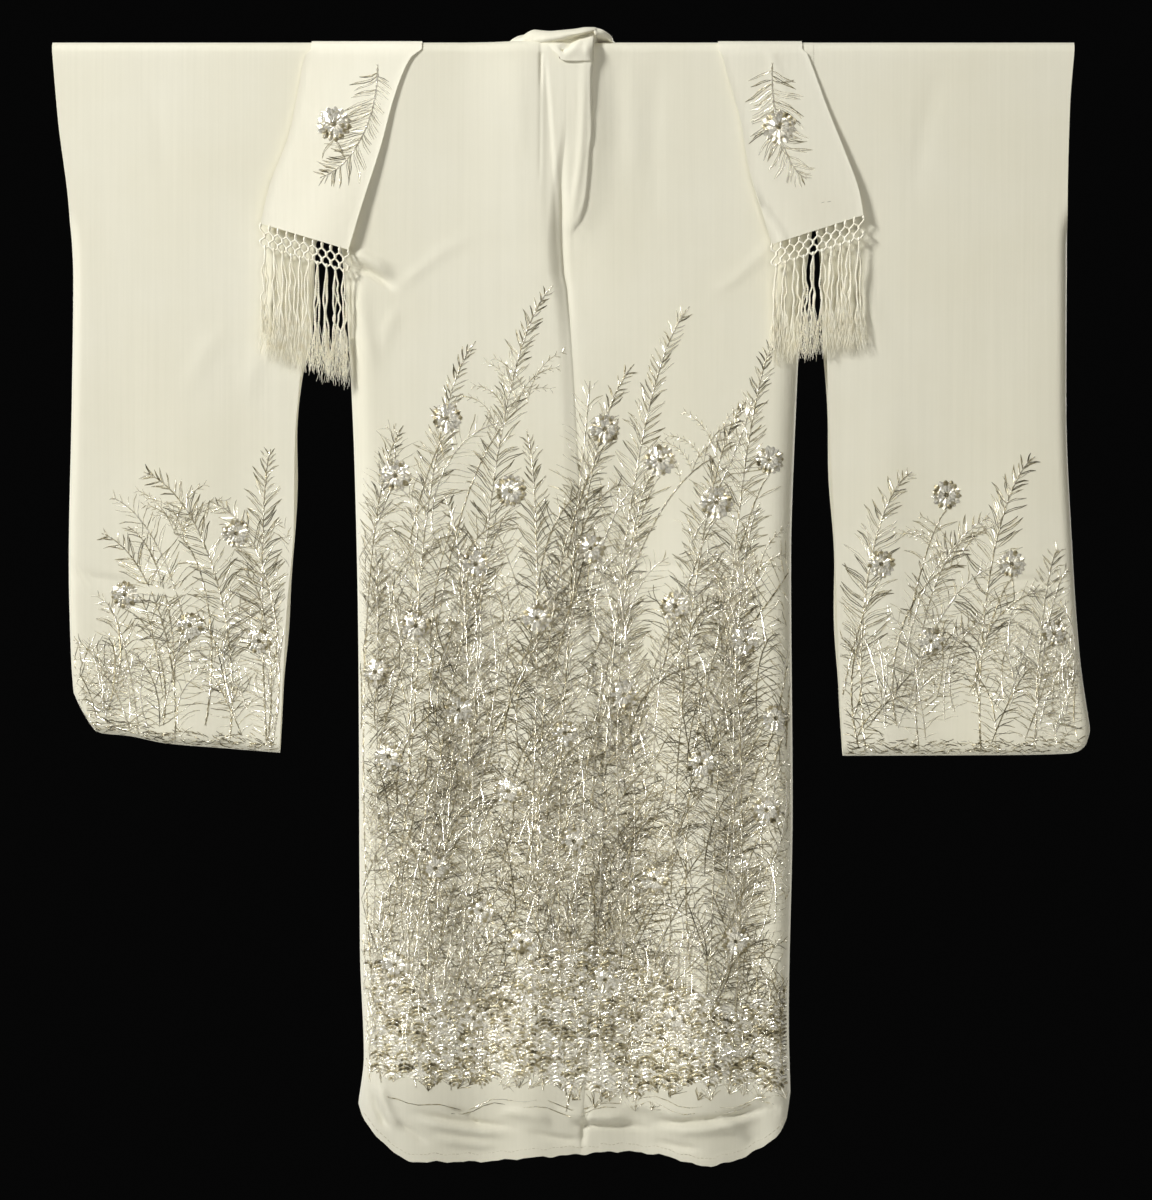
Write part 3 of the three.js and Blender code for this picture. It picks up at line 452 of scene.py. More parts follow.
TROUGH_RIGHT_WIDTH = Profile(
    ((0.10, 0.0026), (0.20, 0.0060), (0.235, 0.018), (0.30, 0.050), (0.40, 0.070), (1.45, 0.06))
)
SEAM_GROOVE = Profile(
    (
        (0.0, 0.0), (0.16, -0.0002), (0.22, -0.0020), (0.30, -0.0022), (0.40, -0.0010), (1.35, -0.0010),
        (1.45, -0.0004),
    )
)
SEAM_GROOVE_WIDTH = 0.0015
SEAM_SIDE_WIDTH = 0.090  # how far the left length stands proud beside the seam
TROUGH_SHARE = 0.4  # share of the trough that lies below the cloth, and not above it on the left
OUTER_CREASE = Profile(((0.0, -0.0430), (0.18, -0.0445)))
OUTER_CREASE_DEPTH = Profile(
    ((0.012, 0.0), (0.02, -0.0026), (0.045, -0.0022), (0.070, -0.0008), (0.15, -0.0007), (0.19, 0.0))
)
OUTER_CREASE_WIDTH = 0.0022


def hump(off: Array, width: float | Array) -> Array:
    """A smooth hump of height 1 across a line."""
    return np.exp(-((off / width) ** 2))


def slab_rise(x: Array, drop: Array) -> Array:
    """How proud the gathered slack stands below the collar, and the long trough that it ends in.

    Args:
        x: places along the rod.
        drop: their drops.

    Returns:
        the extra depth at each place.
    """
    left, right = SLAB_LEFT.at(drop), SLAB_RIGHT.at(drop)
    ended = smoothstep(x - right, 0.0, SLAB_RIGHT_SLOPE)
    beyond = 1.0 - ended
    across = np.clip((x - left) / (right - left), 0.0, 1.0)
    stepped = smoothstep(x - left, -SLAB_LEFT_SLOPE, 0.0)
    rise = SLAB_STEP.at(drop) * stepped * lerp(0.19, 1.0, across) * beyond
    faded = lerp(smoothstep(x - right, 0.0, 0.038), ended, SLAB_EDGE.at(drop))
    rise = rise + SLAB_SWELL.at(drop) * smoothstep(x, -0.150, -0.047) * (1.0 - faded)
    floor = smoothstep(x, LEFT_VALLEY_EDGE, LEFT_VALLEY_EDGE + 0.012)
    rise = rise - LEFT_VALLEY_DEPTH.at(drop) * floor * (1.0 - stepped)
    rise = rise + LEFT_RIDGE_HEIGHT.at(drop) * hump(x - LEFT_RIDGE.at(drop), LEFT_RIDGE_WIDTH)
    rise = rise + RIGHT_RIDGE_HEIGHT.at(drop) * hump(x - RIGHT_RIDGE.at(drop), RIGHT_RIDGE_WIDTH) * beyond
    seam = x - CENTRE_BACK.at(drop)
    trough = np.where(seam < 0, TROUGH_LEFT_WIDTH.at(drop), TROUGH_RIGHT_WIDTH.at(drop))
    beside = smoothstep(-seam, 0.0, 1.7 * TROUGH_LEFT_WIDTH.at(drop))
    proud = beside * hump(np.minimum(seam, 0.0), SEAM_SIDE_WIDTH)
    rise = rise + TROUGH_DEPTH.at(drop) * (TROUGH_SHARE * hump(seam, trough) - (1.0 - TROUGH_SHARE) * proud)
    rise = rise + SEAM_GROOVE.at(drop) * hump(seam, np.where(seam < 0, 1.0, 4.0) * SEAM_GROOVE_WIDTH)
    return rise + OUTER_CREASE_DEPTH.at(drop) * hump(x - OUTER_CREASE.at(drop), OUTER_CREASE_WIDTH)


def side_of(x: Array, drop: Array) -> Array:
    """The x of the side seam on this side of the centre back."""
    return np.where(x < CENTRE_BACK.at(drop), SIDE_SEAM[Side.LEFT].at(drop), SIDE_SEAM[Side.RIGHT].at(drop))


def turned(depth: Array, away: Array, opens: float, reach: float, drop: Array) -> Array:
    """A wall's depth as it turns in to a seam that closes below an opening.

    Args:
        depth: the depth that the wall would have far from the seam.
        away: distance from the seam.
        opens: drop at which the opening ends.
        reach: distance over which the wall turns.
        drop: drop of each place.

    Returns:
        the depth, never less than that of a sewn edge.
    """
    inward = np.clip(1.0 - away / reach, 0.0, 1.0)
    closing = smoothstep(drop, opens, opens + SEAM_OPENS)
    return np.maximum(depth * lerp(1.0, np.sqrt(1.0 - inward**2), closing), SEAM_DEPTH)


def hem_ripple(x: Array) -> Array:
    """How far the sewn edge strays from the hem's line."""
    return 0.0010 * np.sin(150.0 * x + 0.7) + 0.0007 * np.sin(287.0 * x) + 0.0006 * np.sin(61.0 * x + 2.0)


def hem_drop(x: Array) -> Array:
    """The drop of the hem below a place on the back.

    Args:
        x: places along the rod.

    Returns:
        the drop at each place.
    """
    middle = CENTRE_BACK.at(LEVEL_DROP)
    share = np.abs(x) / HALF_HEM
    return np.where(x < middle, HEM[Side.LEFT].at(share), HEM[Side.RIGHT].at(share)) + hem_ripple(x)


def hem_rise(x: Array, drop: Array) -> Array:
    """The turned-up hem's extra thickness."""
    above = hem_drop(x) - drop
    return HEM_PROUD * (1.0 - smoothstep(above, HEM_BAND - 0.001, HEM_BAND + 0.001))


def back_depth(x: Array, drop: Array) -> Array:
    """The depth of the robe's back, to the middle of its cloth.

    Args:
        x: places along the rod.
        drop: their drops.

    Returns:
        the depth at each place.
    """
    depth = BODY_HANG.at(drop) + slab_rise(x, drop)
    for shape in (*BACK_FOLDS, *BACK_CREASES):
        depth = depth + shape.rise(x, drop)
    depth = depth + hem_rise(x, drop)
    return turned(depth, np.abs(side_of(x, drop) - x), ARMHOLE_DROP, SIDE_ROUND, drop)


def front_wall(x: Array, drop: Array) -> Array:
    """The depth of a front before it turns to its side seam.

    Args:
        x: places along the rod.
        drop: their drops.

    Returns:
        the depth at each place.
    """
    depth = BODY_HANG.at(drop)
    for shape in (*FRONT_FOLDS, *FRONT_CREASES):
        depth = depth + shape.rise(x, drop)
    return depth


def left_lift(x: Array, drop: Array) -> Array:
    """How far the left front lies above the right one."""
    return OVERLAP_LIFT * smoothstep(x, -0.26, -0.17) * smoothstep(drop, FOLD_RADIUS, LIFT_DROP)


def front_depth(side: Side) -> Surface:
    """The depth of one front, to the middle of its cloth.

    Args:
        side: whose front.

    Returns:
        that front's depth at a place.
    """

    def depth(x: Array, drop: Array) -> Array:
        """The front's depth.

        Args:
            x: places along the rod.
            drop: their drops.

        Returns:
            the depth at each place.
        """
        lift = left_lift(x, drop) if side is Side.LEFT else 0.0
        away = np.abs(SIDE_SEAM[side].at(drop) - x)
        return turned(front_wall(x, drop) + lift, away, ARMHOLE_DROP, SIDE_ROUND, drop)

    return depth


def sleeve_depth(cut: SleeveCut) -> Surface:
    """The depth of a sleeve's back or front, to the middle of its cloth.

    Args:
        cut: the sleeve's outline.

    Returns:
        that sleeve's depth at a place.
    """

    def depth(x: Array, drop: Array) -> Array:
        """The sleeve's depth.

        Args:
            x: places along the rod.
            drop: their drops.

        Returns:
            the depth at each place.
        """
        wall = SLEEVE_HANG.at(drop)
        for shape in (*SLEEVE_FOLDS, *SLEEVE_CREASES):
            wall = wall + shape.rise(x, drop)
        inner, outer = cut.inner.at(drop), cut.outer.at(drop)
        share = np.clip((x - inner) / (outer - inner), 0.0, 1.0)
        lowest = np.clip(1.0 - (cut.bottom.at(share) - SILK / 2 - drop) / SLEEVE_ROUND, 0.0, 1.0)
        wall = wall * np.sqrt(1.0 - lowest**2)
        return turned(wall, np.abs(outer - x), WRIST_DROP, SLEEVE_ROUND, drop)

    return depth


def spaced(stops: Sequence[tuple[float, float]]) -> Array:
    """Places between the first stop and the last, closer set where the work is finer.

    Args:
        stops: places, each with the step that holds from there on.

    Returns:
        the places in order.
    """
    runs = [np.array([stops[0][0]])]
    for (start, step), (end, _) in zip(stops, stops[1:]):
        runs.append(np.linspace(start, end, max(1, round((end - start) / step)) + 1)[1:])
    return np.concatenate(runs)


def placed(x: Array, depth: Array, drop: Array, face: Face) -> Array:
    """Points in space for places on a wall."""
    x, depth, drop = np.broadcast_arrays(x, depth, drop)
    return np.stack([x, face.value * depth, FOLD_RADIUS - drop], axis=-1)


# ---- meshes ----
def unit(vectors: Array) -> Array:
    """The vectors at length 1."""
    return vectors / np.maximum(np.linalg.norm(vectors, axis=-1, keepdims=True), 1e-12)


def new_mesh(name: str, points: Array, faces: Sequence[Sequence[int]], smooth: bool) -> Piece:
    """A mesh object in the scene, from points and faces.

    Args:
        name: the object's name.
        points: its points.
        faces: point numbers of each face.
        smooth: whether its faces are shaded smooth.

    Returns:
        the object.
    """
    mesh = bpy.data.meshes.new(name)
    mesh.from_pydata(points.tolist(), [], [list(face) for face in faces])
    mesh.validate()
    obj = bpy.data.objects.new(name, mesh)
    bpy.context.scene.collection.objects.link(obj)
    if smooth:
        mesh.shade_smooth()
    return obj


def cloth_wall(name: str, grid: Array, wall: float) -> Piece:
    """A closed wall around a grid of points on the cloth's middle, with a length of weave on it in metres.

    Args:
        name: the piece's name.
        grid: rows by columns of points.
        wall: the cloth's thickness.

    Returns:
        the piece, smooth but for its cut edges.
    """
    rows, columns = grid.shape[:2]
    normal = unit(np.cross(np.gradient(grid, axis=1), np.gradient(grid, axis=0)))
    points = np.concatenate([(grid + normal * share * wall).reshape(-1, 3) for share in (0.5, -0.5)])
    under = rows * columns
    k = np.arange(under).reshape(rows, columns)
    a, b, c, d = k[:-1, :-1].ravel(), k[:-1, 1:].ravel(), k[1:, 1:].ravel(), k[1:, :-1].ravel()
    faces = [np.stack([a, b, c, d], 1), np.stack([a, d, c, b], 1) + under]
    for edge, outward in ((k[:, 0], True), (k[:, -1], False), (k[0], False), (k[-1], True)):
        p, q = (edge[:-1], edge[1:]) if outward else (edge[1:], edge[:-1])
        faces.append(np.stack([p, q, q + under, p + under], 1))
    obj = new_mesh(name, points, np.concatenate(faces), True)
    obj.data.set_sharp_from_angle(angle=math.radians(60))
    across = np.linalg.norm(np.diff(grid, axis=1), axis=2).cumsum(axis=1)
    along = np.linalg.norm(np.diff(grid, axis=0), axis=2).cumsum(axis=0)
    u = np.concatenate([np.zeros((rows, 1)), across], axis=1)
    v = np.concatenate([np.zeros((1, columns)), along], axis=0)
    weave = np.tile(np.stack([u, v], -1).reshape(-1, 2), (2, 1))
    index = np.empty(len(obj.data.loops), int)
    obj.data.loops.foreach_get("vertex_index", index)
    obj.data.uv_layers.new(name="weave").data.foreach_set("uv", weave[index].ravel())
    return obj


def tubes(name: str, paths: Sequence[Array], radii: Sequence[Array], sides: int) -> Piece:
    """Closed tubes along paths, joined in one mesh.

    Args:
        name: the piece's name.
        paths: one array of points for each tube.
        radii: the tube's radius at each of its points.
        sides: sides of every tube.

    Returns:
        the piece.
    """
    points: list[Array] = []
    faces: list[Array] = []
    base = 0
    turn = np.arange(sides) * (2 * math.pi / sides)
    for path, radius in zip(paths, radii):
        tangent = unit(np.gradient(path, axis=0))
        aside = np.where(np.abs(tangent[:, 1:2]) < 0.9, [[0.0, 1.0, 0.0]], [[1.0, 0.0, 0.0]])
        first = unit(np.cross(aside, tangent))
        second = np.cross(tangent, first)
        ring = first[:, None] * np.cos(turn)[None, :, None] + second[:, None] * np.sin(turn)[None, :, None]
        points.append((path[:, None] + ring * np.asarray(radius)[:, None, None]).reshape(-1, 3))
        count = len(path)
        k = base + np.arange(count * sides).reshape(count, sides)
        after = np.roll(k, -1, axis=1)
        quads = np.stack([k[:-1], after[:-1], after[1:], k[1:]], -1).reshape(-1, 4)
        faces.extend(quads.tolist())
        faces.append(k[0][::-1].tolist())
        faces.append(k[-1].tolist())
        base += count * sides
    obj = new_mesh(name, np.concatenate(points), faces, True)
    obj.data.set_sharp_from_angle(angle=math.radians(70))
    return obj


# ---- finishes ----
class Nodes:
    """A short way to wire one material."""

    def __init__(self, name: str) -> None:
        """Starts a material with one principled shader.

        Args:
            name: the material's name.
        """
        self.material = bpy.data.materials.new(name)
        self.material.use_nodes = True
        self.tree = self.material.node_tree
        self.shader = self.tree.nodes["Principled BSDF"]
        self.place = self.add("ShaderNodeTexCoord").outputs["Object"]

    def add(self, kind: str, **settings: object) -> bpy.types.Node:
        """A node with its settings.

        Args:
            kind: its type.
            settings: its properties.

        Returns:
            the node.
        """
        node = self.tree.nodes.new(kind)
        for name, value in settings.items():
            setattr(node, name, value)
        return node

    def link(self, source: Socket, target: Socket) -> None:
        """Joins an output to an input."""
        self.tree.links.new(source, target)

    def scaled(self, scale: tuple[float, float, float]) -> Socket:
        """The object's own coordinates, scaled along each axis.

        Args:
            scale: factor on each axis.

        Returns:
            the coordinates.
        """
        node = self.add("ShaderNodeMapping")
        node.inputs["Scale"].default_value = scale
        self.link(self.place, node.inputs["Vector"])
        return node.outputs["Vector"]

    def noise(self, vector: Socket, scale: float, detail: float) -> Socket:
        """A noise's factor.

        Args:
            vector: coordinates.
            scale: its scale.
            detail: its detail.

        Returns:
            the factor.
        """
        node = self.add("ShaderNodeTexNoise")
        node.inputs["Scale"].default_value = scale
        node.inputs["Detail"].default_value = detail
        self.link(vector, node.inputs["Vector"])
        return node.outputs["Fac"]

    def wave(self, vector: Socket, direction: str, pitch: float, stray: float) -> Socket:
        """Even bands with a pitch in metres, which stray a little.

        Args:
            vector: coordinates.
            direction: axis that the bands cross.
            pitch: their pitch.
            stray: how far they stray.

        Returns:
            the factor.
        """
        node = self.add("ShaderNodeTexWave", bands_direction=direction)
        node.inputs["Scale"].default_value = math.pi / 10 / pitch
        node.inputs["Distortion"].default_value = stray
        node.inputs["Detail"].default_value = 1.0
        node.inputs["Detail Scale"].default_value = 0.4
        self.link(vector, node.inputs["Vector"])
        return node.outputs["Fac"]

    def ramp(self, factor: Socket, stops: Sequence[tuple[float, Colour]]) -> Socket:
        """A colour for each value of a factor.

        Args:
            factor: what the colour follows.
            stops: places with their colours.

        Returns:
            the colour.
        """
        node = self.add("ShaderNodeValToRGB")
        elements = node.color_ramp.elements
        while len(elements) < len(stops):
            elements.new(0.5)
        for element, (position, colour) in zip(elements, stops):
            element.position = position
            element.color = (*colour, 1.0)
        self.link(factor, node.inputs["Fac"])
        return node.outputs["Color"]

    def math(self, operation: str, first: Socket, second: float | Socket) -> Socket:
        """One sum on one or two values.

        Args:
            operation: the sum's name.
            first: a socket.
            second: a socket or a number.

        Returns:
            the result.
        """
        node = self.add("ShaderNodeMath", operation=operation)
        self.link(first, node.inputs[0])
        if isinstance(second, (int, float)):
            node.inputs[1].default_value = second
        else:
            self.link(second, node.inputs[1])
        return node.outputs["Value"]

    def blend(self, first: Socket, second: Socket, mode: str) -> Socket:
        """Two colours laid over each other in full.

        Args:
            first: lower colour.
            second: upper colour.
            mode: how they mix.

        Returns:
            the colour.
        """
        node = self.add("ShaderNodeMixRGB", blend_type=mode)
        node.inputs["Fac"].default_value = 1.0
        self.link(first, node.inputs["Color1"])
        self.link(second, node.inputs["Color2"])
        return node.outputs["Color"]

    def bump(self, heights: Sequence[tuple[Socket, float]]) -> None:
        """Bumps laid over each other, each with its height in metres.

        Args:
            heights: sockets, each with its height.
        """
        normal = None
        for height, distance in heights:
            node = self.add("ShaderNodeBump")
            node.inputs["Strength"].default_value = 1.0
            node.inputs["Distance"].default_value = distance
            self.link(height, node.inputs["Height"])
            if normal is not None:
                self.link(normal, node.inputs["Normal"])
            normal = node.outputs["Normal"]
        self.link(normal, self.shader.inputs["Normal"])

    def set(self, **values: object) -> None:
        """Sets the shader's own sockets, by their names with underscores for spaces."""
        for name, value in values.items():
            self.shader.inputs[name.replace("_", " ")].default_value = value


@dataclass(frozen=True)
class SilkCrepe:
    """Crepe silk: a fine grainy weave with a soft low sheen, gone a little uneven with age; its colour can
    be made darker towards the hem and painted darker on the right as painted shade.
    """

    name: str
    light: Colour
    aged: Colour
    roughness: float = 0.56
    weft_pitch: float = 0.0007
    warp_pitch: float = 0.0005
    weave_height: float = 0.00003
    grain_height: float = 0.00005
    streak_height: float = 0.00012
    sheen: float = 0.25
    hem_darkening: float = 0.80  # how much darker the silk's colour is made towards the hem
    painted_right_shade: float = 1.0  # how much darker the silk is painted on the right, a painted shade for the light falling off away from the lamp on the left

    def darkened_along(self, n: "Nodes", axis: str, start: float, end: float, shade: float) -> Socket:
        """A brightness that falls from 1 to a shade between two places on an axis.

        Args:
            n: the material's nodes.
            axis: "X" or "Z".
            start: where it is still 1.
            end: where it has reached the shade.
            shade: its value there.

        Returns:
            the brightness.
        """
        parts = n.add("ShaderNodeSeparateXYZ")
        n.link(n.place, parts.inputs[0])
        ranged = n.add("ShaderNodeMapRange", interpolation_type="SMOOTHSTEP")
        ranged.inputs["From Min"].default_value = min(start, end)
        ranged.inputs["From Max"].default_value = max(start, end)
        ranged.inputs["To Min"].default_value = 1.0 if start < end else shade
        ranged.inputs["To Max"].default_value = shade if start < end else 1.0
        n.link(parts.outputs[axis], ranged.inputs["Value"])
        return ranged.outputs["Result"]

    def make(self) -> bpy.types.Material:
        """Wires the finish.

        Returns:
            the material.
        """
        n = Nodes(self.name)
        mottle = n.noise(n.place, 4.5, 5.0)
        streak = n.noise(n.scaled((260.0, 260.0, 3.0)), 1.0, 3.0)
        grain = n.noise(n.place, 1500.0, 2.0)
        base = n.ramp(mottle, ((0.32, self.aged), (0.66, self.light)))
        shade = n.ramp(streak, ((0.3, (0.965, 0.965, 0.96)), (0.7, (1.0, 1.0, 1.0))))
        # Laid over the mottle: the streaks' tone, a darkening towards the hem, and a painted shade that
        # darkens the right, where the lamp on the left lights the cloth less.
        for layer in (
            shade,
            self.darkened_along(n, "Z", -1.270, -1.385, self.hem_darkening),
            self.darkened_along(n, "X", 0.120, 0.250, self.painted_right_shade),
        ):
            base = n.blend(base, layer, "MULTIPLY")
        n.link(base, n.shader.inputs["Base Color"])
        rough = n.add("ShaderNodeMapRange")
        rough.inputs["To Min"].default_value = self.roughness - 0.05
        rough.inputs["To Max"].default_value = self.roughness + 0.07
        n.link(grain, rough.inputs["Value"])
        n.link(rough.outputs["Result"], n.shader.inputs["Roughness"])
        weft = n.wave(n.place, "Z", self.weft_pitch, 1.2)
        warp = n.wave(n.place, "X", self.warp_pitch, 1.0)
        n.bump(
            (
                (streak, self.streak_height),
                (n.math("ADD", weft, warp), self.weave_height),
                (grain, self.grain_height),
            )
        )
        n.set(
            Metallic=0.0, Specular_IOR_Level=0.34, Sheen_Weight=self.sheen, Sheen_Roughness=0.45,
            Sheen_Tint=(1.0, 0.98, 0.92, 1.0),
        )
        return n.material


@dataclass(frozen=True)
class SilverThread:
    """Flat silver strip wound on a core, darker where it has tarnished, with painted glints and painted dark
    reflections as bright and dark dashes along each thread.
    """

    name: str = "silver thread"
    # The tone ramp's dark end stands both for tarnish and for painted dark reflections; its bright end is
    # mostly painted glint.
    tarnish_and_painted_dark: Colour = (0.085, 0.070, 0.034)
    dull: Colour = (0.42, 0.365, 0.215)
    bright: Colour = (0.98, 0.95, 0.83)
    roughness: float = 0.27
    wrap_pitch: float = 0.0013

    def make(self) -> bpy.types.Material:
        """Wires the finish.

        Returns:
            the material.
        """
        n = Nodes(self.name)
        tone = n.add("ShaderNodeAttribute", attribute_name="tone").outputs["Fac"]
        run = n.add("ShaderNodeAttribute", attribute_name="run").outputs["Vector"]
        stain = n.noise(n.place, 60.0, 3.0)
        # Painted glints: noise along each thread's run adds bright and dark dashes to its colour, standing
        # in for the twisted strip's glints and dark reflections.
        painted_glints = n.noise(run, 170.0, 1.0)
        mixed = n.math("ADD", tone, n.math("MULTIPLY", n.math("SUBTRACT", stain, 0.5), 0.5))
        mixed = n.math("ADD", mixed, n.math("MULTIPLY", n.math("SUBTRACT", painted_glints, 0.5), 1.5))
        colour = n.ramp(mixed, ((0.15, self.tarnish_and_painted_dark), (0.50, self.dull), (0.90, self.bright)))
        n.link(colour, n.shader.inputs["Base Color"])
        rough = n.add("ShaderNodeMapRange")
        rough.inputs["To Min"].default_value = self.roughness + 0.18
        rough.inputs["To Max"].default_value = self.roughness - 0.08
        n.link(mixed, rough.inputs["Value"])
        n.link(rough.outputs["Result"], n.shader.inputs["Roughness"])
        wrap = n.wave(run, "X", self.wrap_pitch, 0.5)
        n.bump(((wrap, 0.00022),))
        n.set(Metallic=0.66, Specular_IOR_Level=0.7)
        return n.material


@dataclass(frozen=True)
class SewingThread:
    """Cream silk sewing thread, sunk in the cloth, its colour darkened well below the silk's as painted
    shade, so the stitches read as a shaded line.
    """

    name: str = "sewing thread"
    # Both colours are painted shade: far darker than cream silk, so the running stitch shows as a dark line.
    light: Colour = (0.56, 0.52, 0.40)
    shaded: Colour = (0.38, 0.345, 0.25)
    roughness: float = 0.6

    def make(self) -> bpy.types.Material:
        """Wires the finish.

        Returns:
            the material.
        """
        n = Nodes(self.name)
        mottle = n.noise(n.place, 70.0, 2.0)
        n.link(n.ramp(mottle, ((0.3, self.shaded), (0.7, self.light))), n.shader.inputs["Base Color"])
        n.bump(((n.noise(n.place, 2200.0, 2.0), 0.0001),))
        n.set(Roughness=self.roughness, Specular_IOR_Level=0.3)
        return n.material


@dataclass(frozen=True)
class FringeYarn:
    """Plied silk yarn, matt and a little yellowed."""

    name: str = "fringe yarn"
    light: Colour = (1.0, 0.975, 0.84)
    shaded: Colour = (0.94, 0.89, 0.72)
    roughness: float = 0.7

    def make(self) -> bpy.types.Material:
        """Wires the finish.

        Returns:
            the material.
        """
        n = Nodes(self.name)
        mottle = n.noise(n.place, 90.0, 3.0)
        fibres = n.noise(n.scaled((2600.0, 2600.0, 420.0)), 1.0, 2.0)
        n.link(n.ramp(mottle, ((0.3, self.shaded), (0.62, self.light))), n.shader.inputs["Base Color"])
        n.bump(((fibres, 0.0002),))
        n.set(Roughness=self.roughness, Specular_IOR_Level=0.25, Sheen_Weight=0.3, Sheen_Roughness=0.5)
        return n.material


@dataclass(frozen=True)
class VarnishedWood:
    """A satin varnished dowel, its grain along the rod."""

    name: str = "varnished wood"
    dark: Colour = (0.17, 0.09, 0.04)
    light: Colour = (0.42, 0.26, 0.13)
    roughness: float = 0.38

    def make(self) -> bpy.types.Material:
        """Wires the finish.

        Returns:
            the material.
        """
        n = Nodes(self.name)
        grain = n.noise(n.scaled((4.0, 160.0, 160.0)), 1.0, 5.0)
        pores = n.noise(n.scaled((30.0, 900.0, 900.0)), 1.0, 2.0)
        n.link(n.ramp(grain, ((0.3, self.dark), (0.7, self.light))), n.shader.inputs["Base Color"])
        n.bump(((grain, 0.0003), (pores, 0.0001)))
        n.set(Roughness=self.roughness, Coat_Weight=0.25, Coat_Roughness=0.3)
        return n.material


@dataclass(frozen=True)
class StudioPaper:
    """The pale floor."""

    name: str = "studio paper"
    colour: Colour = (0.62, 0.62, 0.61)

    def make(self) -> bpy.types.Material:
        """Wires the finish.

        Returns:
            the material.
        """
        n = Nodes(self.name)
        shade = n.noise(n.place, 1.5, 2.0)
        paler = tuple(min(1.0, c * 1.04) for c in self.colour)
        n.link(n.ramp(shade, ((0.3, self.colour), (0.7, paler))), n.shader.inputs["Base Color"])
        n.set(Roughness=0.85, Specular_IOR_Level=0.2)
        return n.material


def dress(obj: Piece, finish: bpy.types.Material, slot: str, *nodes: str) -> Piece:
    """Gives a piece its finish, hides the nodes that it stands for, and lets it ride on the robe.

    Args:
        obj: the piece.
        finish: its material.
        slot: not used.
        nodes: the nodes that it stands for.

    Returns:
        the same piece.
    """
    obj.data.materials.append(finish)
    if nodes:
        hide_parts(*nodes)
    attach(obj, "root")
    triangles = sum(len(face.vertices) - 2 for face in obj.data.polygons)
    log.info("%s: %d triangles", obj.name, triangles)
    return obj


# ---- the robe's cloth ----
def over_rod(
    x_of: Callable[[float, bool], Array], radius: float, steps: int, rise: Surface | None = None
) -> Array:
    """The rows of a length of cloth where it passes over the rod, from its back to its front.

    Args:
        x_of: the row's x places for a drop, and whether the row is still on the back.
        radius: the cloth's distance from the rod's axis.
        steps: how many parts the half turn has.
        rise: how much further out the back's cloth stands where it leaves the rod.

    Returns:
        rows by columns of points.
    """
    rows = []
    for step in range(1, steps):
        angle = math.pi * step / steps
        drop = FOLD_RADIUS * abs(1 - 2 * step / steps)
        behind = 2 * step <= steps
        x = x_of(drop, behind)
        reach = np.full_like(x, radius)
        if rise is not None and behind:
            reach = reach + rise(x, np.full_like(x, FOLD_RADIUS)) * smoothstep(drop, 0.0, 0.011)
        rows.append(np.stack([x, -reach * math.cos(angle), reach * math.sin(angle)], -1))
    return np.stack(rows)


